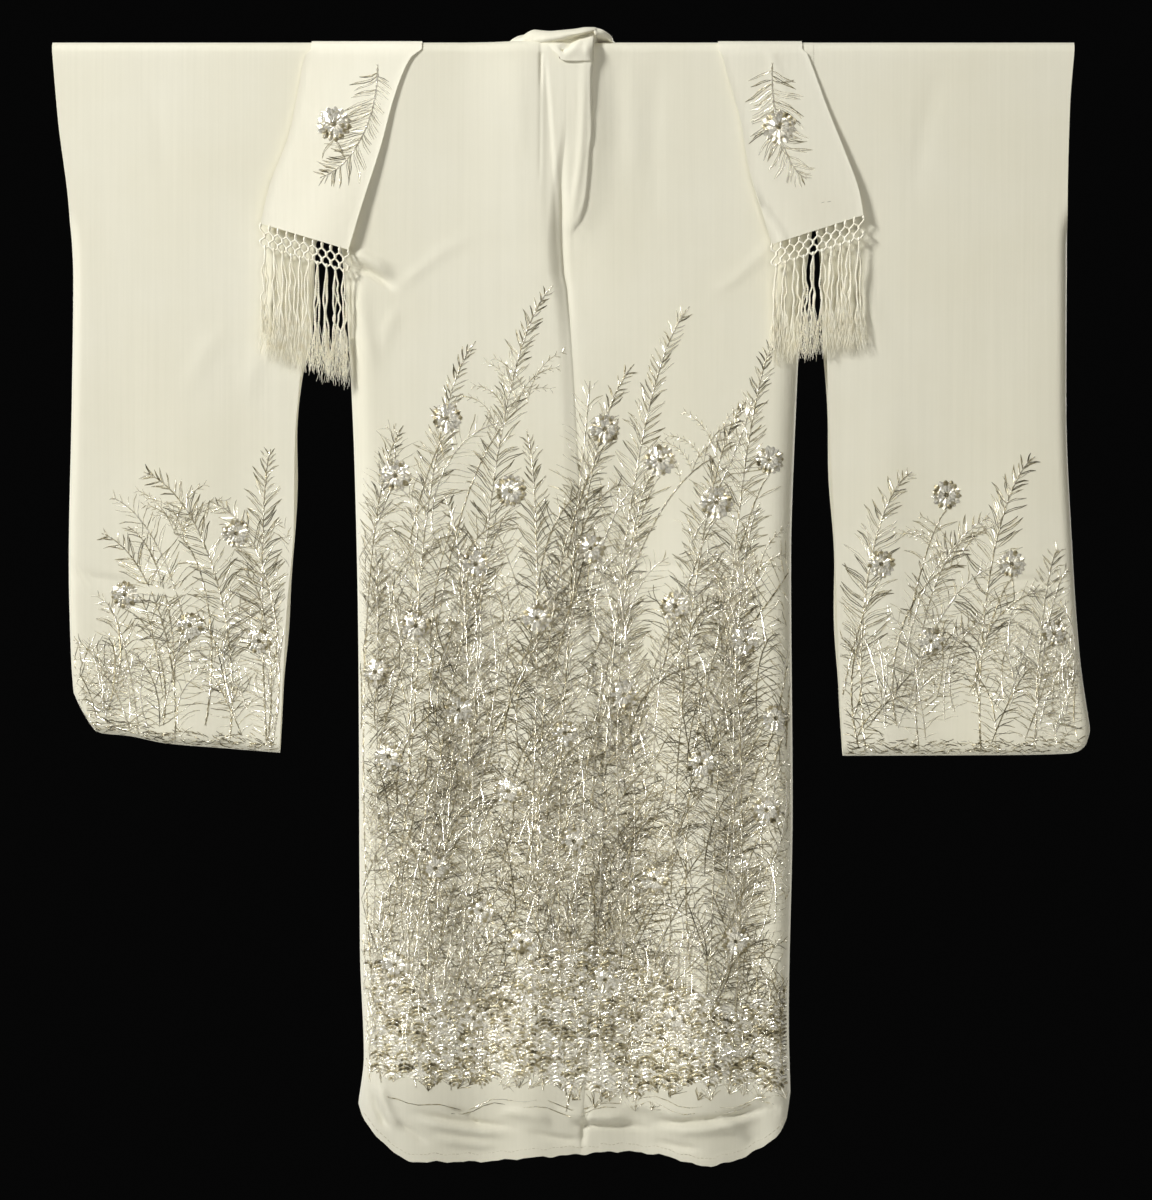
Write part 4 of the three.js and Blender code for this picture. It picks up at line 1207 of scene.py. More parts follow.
@dataclass
class BodyLength:
    """One half of the body: a length of silk from the back hem over the rod to the front hem."""

    side: Side
    near_columns: int = 30
    near_reach: float = 0.048
    field_columns: int = 33
    field_gather: float = 1.35  # above 1, the field's columns stand closer towards the side
    round_columns: int = 8
    rod_steps: int = 16
    upper_rows: int = 46
    # shares of the way from the rod to the hem, each with the step between rows from there on
    back_stops: tuple[tuple[float, float], ...] = (
        (0.166, 0.0042), (0.180, 0.0026), (0.245, 0.0086), (0.450, 0.0026), (0.492, 0.0106), (0.935, 0.0023),
        (1.0, 0.0),
    )
    front_stops: tuple[tuple[float, float], ...] = (
        (0.0, 0.0125), (0.180, 0.0042), (0.235, 0.0200), (0.935, 0.0046), (1.0, 0.0),
    )

    def columns(self, inner: Array, outer: Array, reach: float) -> Array:
        """The x of every column between the inner edge and the side, for each row.

        Args:
            inner: x of the inner edge at each place of the grid.
            outer: x of the side.
            reach: how far the closely set columns run from the inner edge.

        Returns:
            x at each place.
        """
        sign = self.side.value
        near = np.linspace(0.0, reach, self.near_columns)
        field_share = 1.0 - (1.0 - np.linspace(0.0, 1.0, self.field_columns + 1)[1:]) ** self.field_gather
        turn_in = SIDE_ROUND * (1 - np.sin(np.linspace(0, math.pi / 2, self.round_columns + 1)[1:]))
        first, last = self.near_columns, self.near_columns + self.field_columns
        x = np.empty_like(inner)
        x[..., :first] = inner[..., :first] + sign * near
        start = inner[..., first:last] + sign * reach
        end = outer[..., first:last] - sign * SIDE_ROUND
        x[..., first:last] = lerp(start, end, field_share)
        x[..., last:] = outer[..., last:] - sign * turn_in
        return x

    @property
    def width(self) -> int:
        """How many columns the grid has."""
        return self.near_columns + self.field_columns + self.round_columns

    def hem(self) -> Array:
        """Works out the hem.

        Returns:
            its drop at each column.
        """
        level = SIDE_SEAM[self.side].at(LEVEL_DROP)
        x = self.columns(np.zeros((1, self.width)), np.full((1, self.width), level), self.near_reach)
        return HEM[self.side].at(np.abs(x / level)) + hem_ripple(x)

    def outer_edge(self, drop: Array) -> Array:
        """The x of the side: sewn to a sleeve down to the armhole's end, and turned to a seam below it."""
        within = self.side.value * SILK / 2 * (drop >= ARMHOLE_DROP)
        return SIDE_SEAM[self.side].at(drop) - within

    def back_x(self, drop: Array) -> Array:
        """The x of the back's places: upright columns, gathered on the neck's edge where they meet it.

        Args:
            drop: the grid's drops.

        Returns:
            x at each place.
        """
        sign = self.side.value
        seam = SEAM / 4 * smoothstep(drop, 0.20, 0.30)
        x = self.columns(CENTRE_BACK.at(drop) + sign * seam, self.outer_edge(drop), self.near_reach)
        spare = 0.00002 * np.arange(self.width)
        edge = np.where(drop < NECK_DROP, sign * NECK[self.side].at(drop), -1.0) + spare
        return sign * np.maximum(sign * x, edge)

    def front_x(self, drop: Array) -> Array:
        """The x of the front's places.

        Args:
            drop: the grid's drops.

        Returns:
            x at each place.
        """
        edge = FRONT_EDGE[self.side].at(drop)
        inner = np.minimum(edge, 0.0) if self.side is Side.LEFT else np.maximum(edge, 0.0)
        return self.columns(inner + self.side.value * SEAM / 2, self.outer_edge(drop), self.near_reach)

    def rod_x(self, drop: float, behind: bool) -> Array:
        """The x of one row over the rod.

        Args:
            drop: the row's drop.
            behind: whether it is still on the back.

        Returns:
            x at each column.
        """
        level = np.full((1, self.width), drop)
        front = self.front_x(level)[0]
        return lerp(front, self.back_x(level)[0], smoothstep(drop, 0.0, 0.006)) if behind else front

    def build(self) -> Piece:
        """Builds the half body.

        Returns:
            the piece.
        """
        hem = self.hem()
        neck = (NECK_DROP - FOLD_RADIUS) / (hem.mean() - FOLD_RADIUS)
        lower = spaced(self.back_stops)
        below = np.linspace(neck * 1.06, lower[0], self.upper_rows)[:-1]
        above = np.linspace(0.0, neck, 9)[:-1]
        back_share = np.concatenate([above, [neck * 0.97, neck], below, lower])[:, None]
        front_share = spaced(self.front_stops)[:, None]
        back_drop = lerp(FOLD_RADIUS, hem, back_share)
        front_drop = lerp(FOLD_RADIUS, hem, front_share)
        back_x, front_x = self.back_x(back_drop), self.front_x(front_drop)
        grid = np.concatenate(
            [
                placed(back_x, back_depth(back_x, back_drop), back_drop, Face.BACK)[::-1],
                over_rod(self.rod_x, FOLD_RADIUS, self.rod_steps, slab_rise),
                placed(front_x, front_depth(self.side)(front_x, front_drop), front_drop, Face.FRONT),
            ]
        )
        return cloth_wall(f"body_{self.side.name.lower()}_silk", grid, SILK)


@dataclass
class Sleeve:
    """A sleeve: one length of silk folded over the shoulder line, sewn at its outer edge and bottom."""

    cut: SleeveCut
    columns: int = 34
    round_columns: int = 6
    rod_steps: int = 12
    stops: tuple[tuple[float, float], ...] = (
        (0.0, 0.0135), (0.700, 0.0042), (0.775, 0.0125), (1 - SLEEVE_ROUND / 0.9, 0.0),
    )
    front_shows: float = 0.003  # how far the front layer's inner edge stands past the back's

    def shares(self) -> Array:
        """Spaces the columns, close set at the outer seam.

        Returns:
            the share of the width at each.
        """
        seam = 1 - SLEEVE_ROUND / 0.30
        turn_in = 1 - np.sin(np.linspace(0, math.pi / 2, self.round_columns + 1)[1:])
        return np.concatenate([np.linspace(0, seam, self.columns), 1 - (1 - seam) * turn_in])

    def wall(self, face: Face) -> Array:
        """The points of one layer, from the rod down.

        Args:
            face: the back or the front layer.

        Returns:
            rows by columns of points.
        """
        cut, sign = self.cut, self.cut.side.value
        share = self.shares()[None, :]
        level = spaced(self.stops)
        foot = 1 - SLEEVE_ROUND / 0.9 * (1 - np.sin(np.linspace(0, math.pi / 2, self.round_columns + 1)[1:]))
        rows = np.concatenate([level, foot])[:, None]
        drop = lerp(FOLD_RADIUS, cut.bottom.at(share) - SILK / 2, rows)
        inner = cut.inner.at(drop)
        if face is Face.FRONT:
            below = smoothstep(drop, ARMHOLE_DROP, ARMHOLE_DROP + 0.15) * (1 - smoothstep(drop, 0.80, 0.90))
            ripple = 0.5 + 0.5 * np.sin(drop * 34.0 + 1.0)
            inner = inner - sign * self.front_shows * below * ripple
        x = lerp(inner, cut.outer.at(drop) - sign * SILK / 2, share)
        return placed(x, sleeve_depth(cut)(x, drop), drop, face)

    def rod_x(self, drop: float, behind: bool) -> Array:
        """The x of one row over the rod."""
        edge = self.cut.outer.at(drop) - self.cut.side.value * SILK / 2
        return lerp(self.cut.inner.at(drop), edge, self.shares())

    def build(self) -> Piece:
        """Builds the sleeve.

        Returns:
            the piece.
        """
        grid = np.concatenate(
            [
                self.wall(Face.BACK)[::-1],
                over_rod(self.rod_x, FOLD_RADIUS, self.rod_steps),
                self.wall(Face.FRONT),
            ]
        )
        return cloth_wall(f"sleeve_{self.cut.side.name.lower()}_silk", grid, SILK)


@dataclass
class Overlap:
    """The gore that widens a front past the robe's middle."""

    side: Side
    columns: int = 16
    rows: int = 90
    hem_share: float = 0.5  # share of the other half's hem that it covers

    def build(self) -> Piece:
        """Builds the overlap.

        Returns:
            the piece.
        """
        sign = self.side.value
        other = Side.RIGHT if self.side is Side.LEFT else Side.LEFT
        across = np.linspace(0, 1, self.columns)[None, :]
        hem = HEM[other].at(across * self.hem_share)
        fixed = (OVERLAP_TOP + 0.006, COLLAR_END, COLLAR_END + 0.002)
        upper = np.linspace(fixed[0], fixed[1], self.rows // 2)[:, None] + across * 0
        lower = lerp(fixed[2], hem, np.linspace(0, 1, self.rows // 2)[:, None])
        drop = np.concatenate([upper, lower])
        inner = -sign * SEAM / 2
        x = lerp(inner, FRONT_EDGE[self.side].at(drop) + sign * SEAM / 2, across)
        lift = OVERLAP_LIFT if self.side is Side.LEFT else 0.0
        grid = placed(x, front_wall(x, drop) + lift, drop, Face.FRONT)
        return cloth_wall(f"overlap_{self.side.name.lower()}_silk", grid, SILK)


def spline(points: Array, steps: int) -> Array:
    """Points along a smooth line through the given ones, on the first axis.

    Args:
        points: an array whose first axis runs along the line.
        steps: how many steps each stretch between two points gets.

    Returns:
        the denser array, with the given points among its own.
    """
    before = np.concatenate([2 * points[:1] - points[1:2], points[:-1]])
    after = np.concatenate([points[1:], 2 * points[-1:] - points[-2:-1]])
    slope = (after - before) / 2
    t = np.linspace(0, 1, steps + 1)[:-1].reshape((steps,) + (1,) * (points.ndim - 1))
    out = []
    for k in range(len(points) - 1):
        p, q, m, n = points[k], points[k + 1], slope[k], slope[k + 1]
        out.append(
            p * (2 * t**3 - 3 * t**2 + 1) + m * (t**3 - 2 * t**2 + t)
            + q * (3 * t**2 - 2 * t**3) + n * (t**3 - t**2)
        )
    return np.concatenate([*out, points[-1:]])


# Each row is one section of the collar over the back neck, in millimetres: its seam, its lower part, the
# valley under the rolled lobe, the lobe's bulge, its crest and the free edge.
COLLAR_ROLL = (
    ((-80, 16.6, 3), (-74, 18.5, 4), (-68, 20.3, 5.3), (-61, 22, 6.3), (-53, 23.5, 7), (-42, 24, 6)),
    ((-82, 11, 14), (-78, 12.3, 17), (-73, 14, 20), (-67, 16, 22), (-58, 17.5, 22.5), (-46, 20, 18)),
    ((-83, 4, 16), (-80, 4, 18.5), (-76, 4.5, 21), (-71, 6.5, 23.5), (-60, 10, 25), (-43, 15, 21)),
    ((-75, -5, 13.4), (-74, -8, 13.8), (-72.5, -9.5, 15), (-69, -9, 18.6), (-61, -2, 24.6), (-41, 11, 23)),
    ((-64, -9.6, 11.2), (-63, -12.5, 11.4), (-61.5, -14, 12.8), (-58.5, -15.5, 19), (-53.5, -7, 29),
     (-36, 10, 24.5)),
    ((-47, -12, 9.6), (-46.5, -15.5, 10), (-46, -18, 11.6), (-45, -20, 18.5), (-42, -10, 28),
     (-30, 9, 25.5)),
    ((-35, -21, 7), (-34.5, -21.5, 8.6), (-34.3, -19, 11.6), (-33.5, -24, 17), (-31, -13, 26.8),
     (-25, 8, 26)),
    ((-21.6, -27.2, -4), (-21, -26.5, 6), (-20.6, -18.5, 13), (-20, -25, 18), (-18.5, -14, 27.6),
     (-16, 7, 26)),
    ((-15.6, -28.5, -11.6), (-13, -27.5, 3), (-10.5, -16.5, 15.4), (-9, -25, 20.6), (-7, -14, 28.6),
     (-5, 6, 27)),
    ((-2, -28.9, -12.9), (-1, -28.5, 4), (1, -13.5, 18.8), (2.5, -25, 22.6), (4, -13, 30), (5, 6, 28)),
    ((10, -28.9, -12.6), (11, -29, 6), (12.5, -12, 22.4), (14, -23.5, 25.6), (14.5, -12, 31.8),
     (14, 7, 28.5)),
    ((21.3, -27.6, -11), (22.3, -28, 8), (23.2, -13, 25), (25, -19, 28.4), (26, -9, 32), (22, 9, 28)),
    ((23.5, -20, 2), (24.5, -22, 9.5), (27, -14, 20.6), (28.8, -19, 24.6), (29.4, -8, 31.4), (24, 10, 27)),
    ((28, 9, 12.4), (29.5, 8, 15.6), (31.0, -3, 18.6), (34.4, -15, 22.6), (36.6, -12, 28.6), (28, 11, 26)),
    ((40, 9, 12.6), (41, 8, 14.6), (42, -1, 17), (43.6, -10, 19.4), (43.8, -7.5, 24.4), (27, 13, 24)),
    ((50, 6, 13.2), (50, 3, 14), (50, -1, 14.8), (49.4, -5.5, 15.6), (46.8, -2, 20.3), (26, 15, 22)),
    ((54, 7, 14.2), (52, 8, 16), (49.5, 9, 18.5), (45, 10.5, 20.6), (38, 12.5, 22), (24, 16.5, 19)),
    ((52, 11, 14), (49, 12, 16), (45, 13.5, 18), (41, 15, 19), (34, 17, 19.5), (23, 19, 15)),
    ((50, 15.6, 3), (46, 16.5, 3.4), (41, 17.5, 3.8), (36, 18.4, 4), (29, 19.4, 4), (17, 20, 3)),
)


@dataclass(frozen=True)
class Press:
    """A short fold pressed in the collar's roll: proud, or a dimple if height is negative."""

    place: tuple[float, float]  # its middle, as x and z
    run: tuple[float, float]
    height: float
    width: float
    reach: float

    def rise(self, x: Array, z: Array) -> Array:
        """How proud the band stands here.

        Args:
            x: places along the rod.
            z: their heights.

        Returns:
            the extra height at each place.
        """
        ahead = ((x - self.place[0]) * self.run[0] + (z - self.place[1]) * self.run[1]) / self.reach
        beside = ((z - self.place[1]) * self.run[0] - (x - self.place[0]) * self.run[1]) / self.width
        return self.height * np.exp(-(ahead**2) - beside**2)


COLLAR_PRESSES = (
    Press((-0.0148, 0.0008), (0.75, -0.66), -0.0052, 0.0015, 0.0052),
    Press((-0.0130, -0.0026), (0.80, -0.60), 0.0012, 0.0026, 0.0065),
    Press((-0.0065, 0.0085), (0.80, 0.60), -0.0036, 0.0042, 0.0080),
    Press((0.0040, 0.0070), (0.75, 0.66), 0.0022, 0.0040, 0.0130),
    Press((0.0165, 0.0020), (0.10, 0.99), 0.0012, 0.0038, 0.0090),
    Press((0.0040, -0.0098), (1.0, 0.02), -0.0004, 0.0008, 0.0190),
    Press((0.0040, -0.0115), (1.0, 0.02), 0.0006, 0.0010, 0.0190),
    Press((-0.0500, 0.0190), (0.94, 0.30), -0.0010, 0.0030, 0.0130),
)


@dataclass
class Collar:
    """The doubled band that runs down both front edges and stands in a soft roll at the back neck."""

    front_drops: tuple[float, ...] = (
        0.045, 0.11, 0.2, OVERLAP_TOP, 0.4, 0.51, 0.62, 0.73, COLLAR_END - SEAM,
    )
    roll_steps: int = 8
    across_steps: int = 5

    def section(self, side: Side, drop: float) -> Array:
        """The band on a front at a drop, from its seam to its free edge.

        Args:
            side: whose front.
            drop: the section's drop.

        Returns:
            points across the band.
        """
        sign = side.value
        lift = OVERLAP_LIFT if side is Side.LEFT else 0.0
        width = COLLAR_WIDTH * lerp(COLLAR_TILTED, 1.0, smoothstep(drop, 0.0, COLLAR_FLAT_DROP))
        across = np.linspace(0, 1, 6)
        x = FRONT_EDGE[side].at(drop) - sign * (SEAM / 2 + width * across)
        doubled = (COLLAR_WALL - SILK) / 2
        level = np.full(6, drop)
        return placed(x, front_wall(x, level) + lift + doubled, level, Face.FRONT)

    def folds(self, grid: Array) -> Array:
        """Presses the small folds into the roll.

        Args:
            grid: rows by columns of points.

        Returns:
            the grid with the folds in it.
        """
        normal = unit(np.cross(np.gradient(grid, axis=1), np.gradient(grid, axis=0)))
        outward = normal * np.where(normal[..., 1:2] > 0, -1.0, 1.0)
        behind = smoothstep(-grid[..., 1], 0.008, 0.016)
        rise = sum(press.rise(grid[..., 0], grid[..., 2]) for press in COLLAR_PRESSES)
        return grid + outward * (rise * behind)[..., None]

    def build(self) -> Piece:
        """Builds the collar.

        Returns:
            the piece.
        """
        left = [self.section(Side.LEFT, drop) for drop in reversed(self.front_drops)]
        right = [self.section(Side.RIGHT, drop) for drop in self.front_drops]
        sections = np.stack([*left, *(np.array(COLLAR_ROLL) / 1000), *right])
        grid = spline(sections, self.roll_steps)
        grid = spline(np.swapaxes(grid, 0, 1), self.across_steps)
        grid = self.folds(np.swapaxes(grid, 0, 1))
        return cloth_wall("collar_silk", grid, COLLAR_WALL)


# ---- the sash ----
@dataclass(frozen=True)
class SashEnd:
    """Both edges of a hanging end, by the share of the way from the rod to the fringe."""

    side: Side
    outer_x: Profile
    outer_drop: Profile
    inner_x: Profile
    inner_drop: Profile
    yarn: tuple[float, float]  # the fringe's length at its lower x and at its higher x

    def edge(self, across: Array, along: Array) -> tuple[Array, Array]:
        """The x and drop of places across, from the outer edge, 0, to the inner, 1."""
        x = lerp(self.outer_x.at(along), self.inner_x.at(along), across)
        return x, lerp(self.outer_drop.at(along), self.inner_drop.at(along), across)


LEFT_END = SashEnd(
    Side.LEFT,
    Profile(((0.0, -0.342), (0.12, -0.353), (0.27, -0.359), (0.5, -0.370), (0.8, -0.396), (1.0, -0.407))),
    Profile(((0.0, 0.0), (0.12, 0.029), (0.27, 0.064), (0.5, 0.119), (0.8, 0.190), (1.0, 0.238))),
    Profile(((0.0, -0.198), (0.12, -0.219), (0.27, -0.234), (0.5, -0.251), (0.8, -0.277), (1.0, -0.293))),
    Profile(((0.0, 0.0), (0.12, 0.033), (0.27, 0.073), (0.5, 0.136), (0.8, 0.218), (1.0, 0.272))),
    (0.140, 0.146),
)
RIGHT_END = SashEnd(
    Side.RIGHT,
    Profile(((0.0, 0.297), (0.16, 0.311), (0.4, 0.331), (0.62, 0.351), (0.87, 0.371), (1.0, 0.376))),
    Profile(((0.0, 0.0), (0.16, 0.036), (0.4, 0.091), (0.62, 0.141), (0.87, 0.198), (1.0, 0.227))),
    Profile(((0.0, 0.188), (0.16, 0.199), (0.4, 0.217), (0.62, 0.227), (0.87, 0.247), (1.0, 0.257))),
    Profile(((0.0, 0.0), (0.16, 0.042), (0.4, 0.106), (0.62, 0.165), (0.87, 0.231), (1.0, 0.265))),
    (0.124, 0.140),
)
SASH_STANDOFF = 0.011  # how far a fringed edge hangs clear of the robe
SASH_SLANT = 0.3  # sideways run for each metre of drop on the front
SASH_FOLD_DROP = 0.861
SASH_FOLD_X = {Side.LEFT: -0.070, Side.RIGHT: 0.060}
SASH_FOLD_RADIUS = 0.0019
SASH_CROSSING = (0.380, 0.600)
SASH_CLEAR = 0.0022
SASH_CLEAR_DROP = 0.090
SASH_SLANT_DROP = 0.120
SASH_END_WIDTH = 0.118


def sash_hang(along: Array) -> Array:
    """The depth of a hanging end, to the middle of its cloth."""
    return SHOULDER_HANG + SASH_OVER + (SASH_STANDOFF - SASH_OVER) * np.asarray(along) ** 1.35


@dataclass
class Sash:
    """One long straight length of silk over both shoulders, folded at the foot of its two runs in front."""

    columns: int = 25
    end_rows: int = 70
    front_rows: int = 100
    rod_steps: int = 12
    selvedge: float = 0.0007  # how proud a rolled edge stands
    selvedge_width: float = 0.0022

    def across(self) -> Array:
        """Shares of the width, from the outer edge."""
        return np.linspace(0, 1, self.columns)

    def end_rise(self, end: SashEnd, across: Array, along: Array) -> Array:
        """The small forms of a hanging end: its rolled edges and the creases pressed in it.

        Args:
            end: the hanging end.
            across: shares of its width.
            along: shares of its length.

        Returns:
            the extra depth at each place.
        """
        width = SASH_END_WIDTH
        rise = self.selvedge * np.exp(-((across * width / self.selvedge_width) ** 2))
        rise = rise + self.selvedge * np.exp(-(((1 - across) * width / self.selvedge_width) ** 2))
        if end.side is Side.RIGHT:
            pressed = (across - (1.02 - 0.14 * smoothstep(along, 0.72, 1.0))) * width
            rise = rise + 0.0024 * np.exp(-((pressed / 0.0032) ** 2)) * smoothstep(along, 0.66, 0.80)
            upper = 1 - smoothstep(along, 0.1, 0.5)
            rise = rise + 0.0011 * np.exp(-(((across - 0.42) * width / 0.006) ** 2)) * upper
        bow = 0.0016 * np.sin(math.pi * across) * smoothstep(along, 0.1, 0.8)
        waves = 0.0007 * np.sin(7.0 * across + 3.0 * along) * smoothstep(along, 0.2, 1.0)
        return rise + bow + waves

    def hanging(self, end: SashEnd) -> Array:
        """The rows of a hanging end, from the rod down.

        Args:
            end: the hanging end.

        Returns:
            rows by columns of points.
        """
        along = np.linspace(0.07, 1.0, self.end_rows)[:, None]
        across = self.across()[None, :]
        x, drop = end.edge(across, along)
        depth = sash_hang(along) + self.end_rise(end, across, along)
        return placed(x, depth, drop, Face.BACK)

    def front(self, end: SashEnd) -> Array:
        """The rows of a run on the front, from the rod down to the fold.

        Args:
            end: the end that the run leads to.

        Returns:
            rows by columns of points.
        """
        side, sign = end.side, end.side.value
        other = Side.RIGHT if side is Side.LEFT else Side.LEFT
        drop = np.linspace(FOLD_RADIUS, SASH_FOLD_DROP, self.front_rows)[:, None]
        across = self.across()[None, :]
        run = sign * SASH_SLANT * (SASH_FOLD_DROP - drop)
        slanted = lerp(SASH_FOLD_X[side], SASH_FOLD_X[other], across) + run
        top_x, _ = end.edge(across, np.zeros(1))
        x = lerp(top_x, slanted, smoothstep(drop, 0.0, SASH_SLANT_DROP))
        drop = drop + across * 0
        clear = SASH_CLEAR * smoothstep(drop, FOLD_RADIUS, SASH_CLEAR_DROP)
        layer = SASH_FOLD_RADIUS * 2 * smoothstep(drop, *SASH_CROSSING) * (side is Side.RIGHT)
        wall = np.maximum(front_wall(x, drop), BODY_HANG.at(drop)) + left_lift(x, drop)
        return placed(x, wall + SASH_RADIUS - FOLD_RADIUS + clear + layer, drop, Face.FRONT)

    def rod_rows(self, end: SashEnd) -> Array:
        """The rows over the rod, from the back to the front."""
        top_x, _ = end.edge(self.across(), np.zeros(1))
        return over_rod(lambda drop, behind: top_x, SASH_RADIUS, self.rod_steps)

    def build(self) -> Piece:
        """Builds the sash, its right half flipped so that each column keeps its edge through the fold.

        Returns:
            the piece.
        """
        left, right = self.front(LEFT_END), self.front(RIGHT_END)[:, ::-1]
        lowest = left[-1]
        turn = np.radians(np.arange(1, 6) * 30.0)[:, None, None]
        bend = lowest[None] + SASH_FOLD_RADIUS * (
            (1 - np.cos(turn)) * np.array([0.0, 1.0, 0.0]) - np.sin(turn) * np.array([0.0, 0.0, 1.0])
        )
        grid = np.concatenate(
            [
                self.hanging(LEFT_END)[::-1],
                self.rod_rows(LEFT_END),
                left,
                bend,
                right[::-1],
                self.rod_rows(RIGHT_END)[::-1, ::-1],
                self.hanging(RIGHT_END)[:, ::-1],
            ]
        )
        return cloth_wall("sash_silk", grid, SILK)


# ---- the fringes ----
@dataclass
class Fringe:
    """The net knotted on a sash end, and the yarns that hang plumb from it."""

    end: SashEnd
    seed: int
    columns: int = 10
    rows: int = 4
    pitch_down: float = 0.0092
    cord_radius: float = 0.00118
    knot_radius: float = 0.0021
    yarns_per_knot: int = 3
    ply_radius: float = 0.00074
    ply_offset: float = 0.00066
    twist_pitch: float = 0.0062
    yarn_points: int = 62
    frays: int = 14
    lean_in: float = 0.0055  # how far the yarns' feet lie nearer to the robe
    fray_radius: float = 0.00026
    paths: list[Array] = field(default_factory=list)
    radii: list[Array] = field(default_factory=list)

    def __post_init__(self) -> None:
        """Sets out the net along the sash's lower edge."""
        self.draw = random.Random(self.seed)
        outer_x, outer_drop = self.end.edge(np.zeros(1), np.ones(1))
        inner_x, inner_drop = self.end.edge(np.ones(1), np.ones(1))
        outer = (float(outer_x[0]), float(outer_drop[0]))
        inner = (float(inner_x[0]), float(inner_drop[0]))
        (self.x0, self.drop0), (self.x1, self.drop1) = sorted([outer, inner])
        self.depth = float(sash_hang(1.0)) + 0.0004
        self.pitch = (self.x1 - self.x0) / self.columns

    def at(self, share: float, down: float, proud: float = 0.0) -> Array:
        """A point of the net's plane: share along the edge and a distance down.

        Args:
            share: share along the edge.
            down: distance below it.
            proud: distance in front of the net.

        Returns:
            the point.
        """
        x = self.x0 + (self.x1 - self.x0) * share
        drop = self.drop0 + (self.drop1 - self.drop0) * share + down
        return np.array([x, -(self.depth + proud), FOLD_RADIUS - drop])

    def tube(self, points: Array, radius: Array | float) -> None:
        """Adds one tube."""
        self.paths.append(points)
        self.radii.append(np.broadcast_to(np.asarray(radius, float), (len(points),)))

    def knot(self, centre: Array, height: float) -> None:
        """A small wound knot.

        Args:
            centre: its middle.
            height: how tall it is.
        """
        along = np.linspace(-1, 1, 7)
        points = centre + np.stack([along * 0, along * 0, -along * height / 2], -1)
        self.tube(points, self.knot_radius * np.sqrt(np.maximum(1 - along**2 * 0.86, 0.02)))

    def net(self) -> None:
        """The six-sided net: every cord swings half a column from row to row, and meets its neighbour."""
        last = self.rows - 1
        for hand in (-1, 1):
            for column in range(self.columns + 1):
                places = []
                for row in range(self.rows):
                    shift = 0.5 * hand * (row % 2)
                    share = (column + shift) / self.columns
                    if not -1e-6 <= share <= 1 + 1e-6:
                        share = min(max(share, 0.0), 1.0)
                    aside = 0.00055 * hand * (1 if row % 2 == 0 else -1) / (self.x1 - self.x0)
                    top = row * self.pitch_down + (0.0 if row == 0 else self.pitch_down * 0.30)
                    foot = row * self.pitch_down + self.pitch_down * 0.66
                    proud = 0.0004 * hand
                    places.append(self.at(share + aside, top - (0.0012 if row == 0 else 0.0), proud))
                    places.append(self.at(share - aside, foot, proud))
                edge = (column == 0 and hand < 0) or (column == self.columns and hand > 0)
                if edge:
                    continue
                self.tube(spline(np.stack(places[: 2 * last + 1]), 3), self.cord_radius)
        for row in range(self.rows - 1):
            count = self.columns + (row % 2 == 0)
            for k in range(count):
                share = (k + 0.5 * (row % 2)) / self.columns
                height = self.pitch_down * self.draw.uniform(0.42, 0.60)
                self.knot(self.at(share, (row + (0.28 if row == 0 else 0.46)) * self.pitch_down), height)

    def yarn(self, root: Array, length: float, lean: float, proud: float) -> None:
        """One plied yarn that wanders a little on its way down and ends frayed.

        Args:
            root: where it leaves its knot.
            length: how far down it hangs.
            lean: how far sideways its foot lies.
            proud: how far in front of the net it hangs.
        """
        draw = self.draw
        bound = draw.uniform(0.66, 0.80)
        t = np.linspace(0, 1, self.yarn_points)
        phase = draw.uniform(0, 6.28)
        swing = draw.uniform(0.0008, 0.0024)
        waves = draw.uniform(8.0, 17.0)
        spread = smoothstep(t, 0.0, 0.4)
        wander = np.sin(phase + waves * t) - math.sin(phase) + 0.45 * np.sin(2.3 * waves * t)
        x = root[0] + lean * spread + swing * wander * np.sqrt(t)
        y = root[1] - proud * smoothstep(t, 0.0, 0.3)
        y = y + 0.0007 * np.cos(phase + 6.0 * t) * t + self.lean_in * t
        centre = np.stack([x, y, root[2] - length * bound * t], -1)
        turn = 2 * math.pi * length * bound * t / self.twist_pitch + phase
        for half in (0.0, math.pi):
            offset = np.stack([np.cos(turn + half), np.sin(turn + half), 0 * t], -1) * self.ply_offset
            self.tube(centre + offset, self.ply_radius * (1 - 0.25 * smoothstep(t, 0.7, 1.0)))
        for _ in range(self.frays):
            start = draw.uniform(0.66, 0.99)
            k = int(start * (self.yarn_points - 1))
            reach = length * draw.uniform(0.90, 1.04) - length * bound * start
            s = np.linspace(0, 1, 8)
            way = draw.uniform(-0.0095, 0.0095)
            curl = draw.uniform(0.0010, 0.0038)
            wave = draw.uniform(0, 6.28)
            fx = centre[k, 0] + way * s**0.8 + curl * np.sin(wave + 8.0 * s) * s
            fy = centre[k, 1] + draw.uniform(-0.0018, 0.0016) * s + 0.5 * curl * np.cos(wave + 7.0 * s) * s
            self.tube(np.stack([fx, fy, centre[k, 2] - reach * s], -1), self.fray_radius * (1.15 - 0.5 * s))

    def yarns(self) -> None:
        """The groups of yarns under the net's lowest knots."""
        row = self.rows - 1
        for column in range(self.columns):
            share = (column + 0.5) / self.columns
            root = self.at(share, row * self.pitch_down + 0.0015)
            self.knot(root, self.pitch_down * 0.62)
            whole = lerp(self.end.yarn[0], self.end.yarn[1], share) - row * self.pitch_down * 0.02
            gather = self.draw.uniform(-0.0022, 0.0022)
            for k in range(self.yarns_per_knot):
                lean = gather + (k - 1) * self.draw.uniform(0.0016, 0.0034)
                length = whole + self.draw.uniform(-0.007, 0.007)
                self.yarn(root, length, lean, (0.0014, -0.0006, 0.0004)[k % 3])

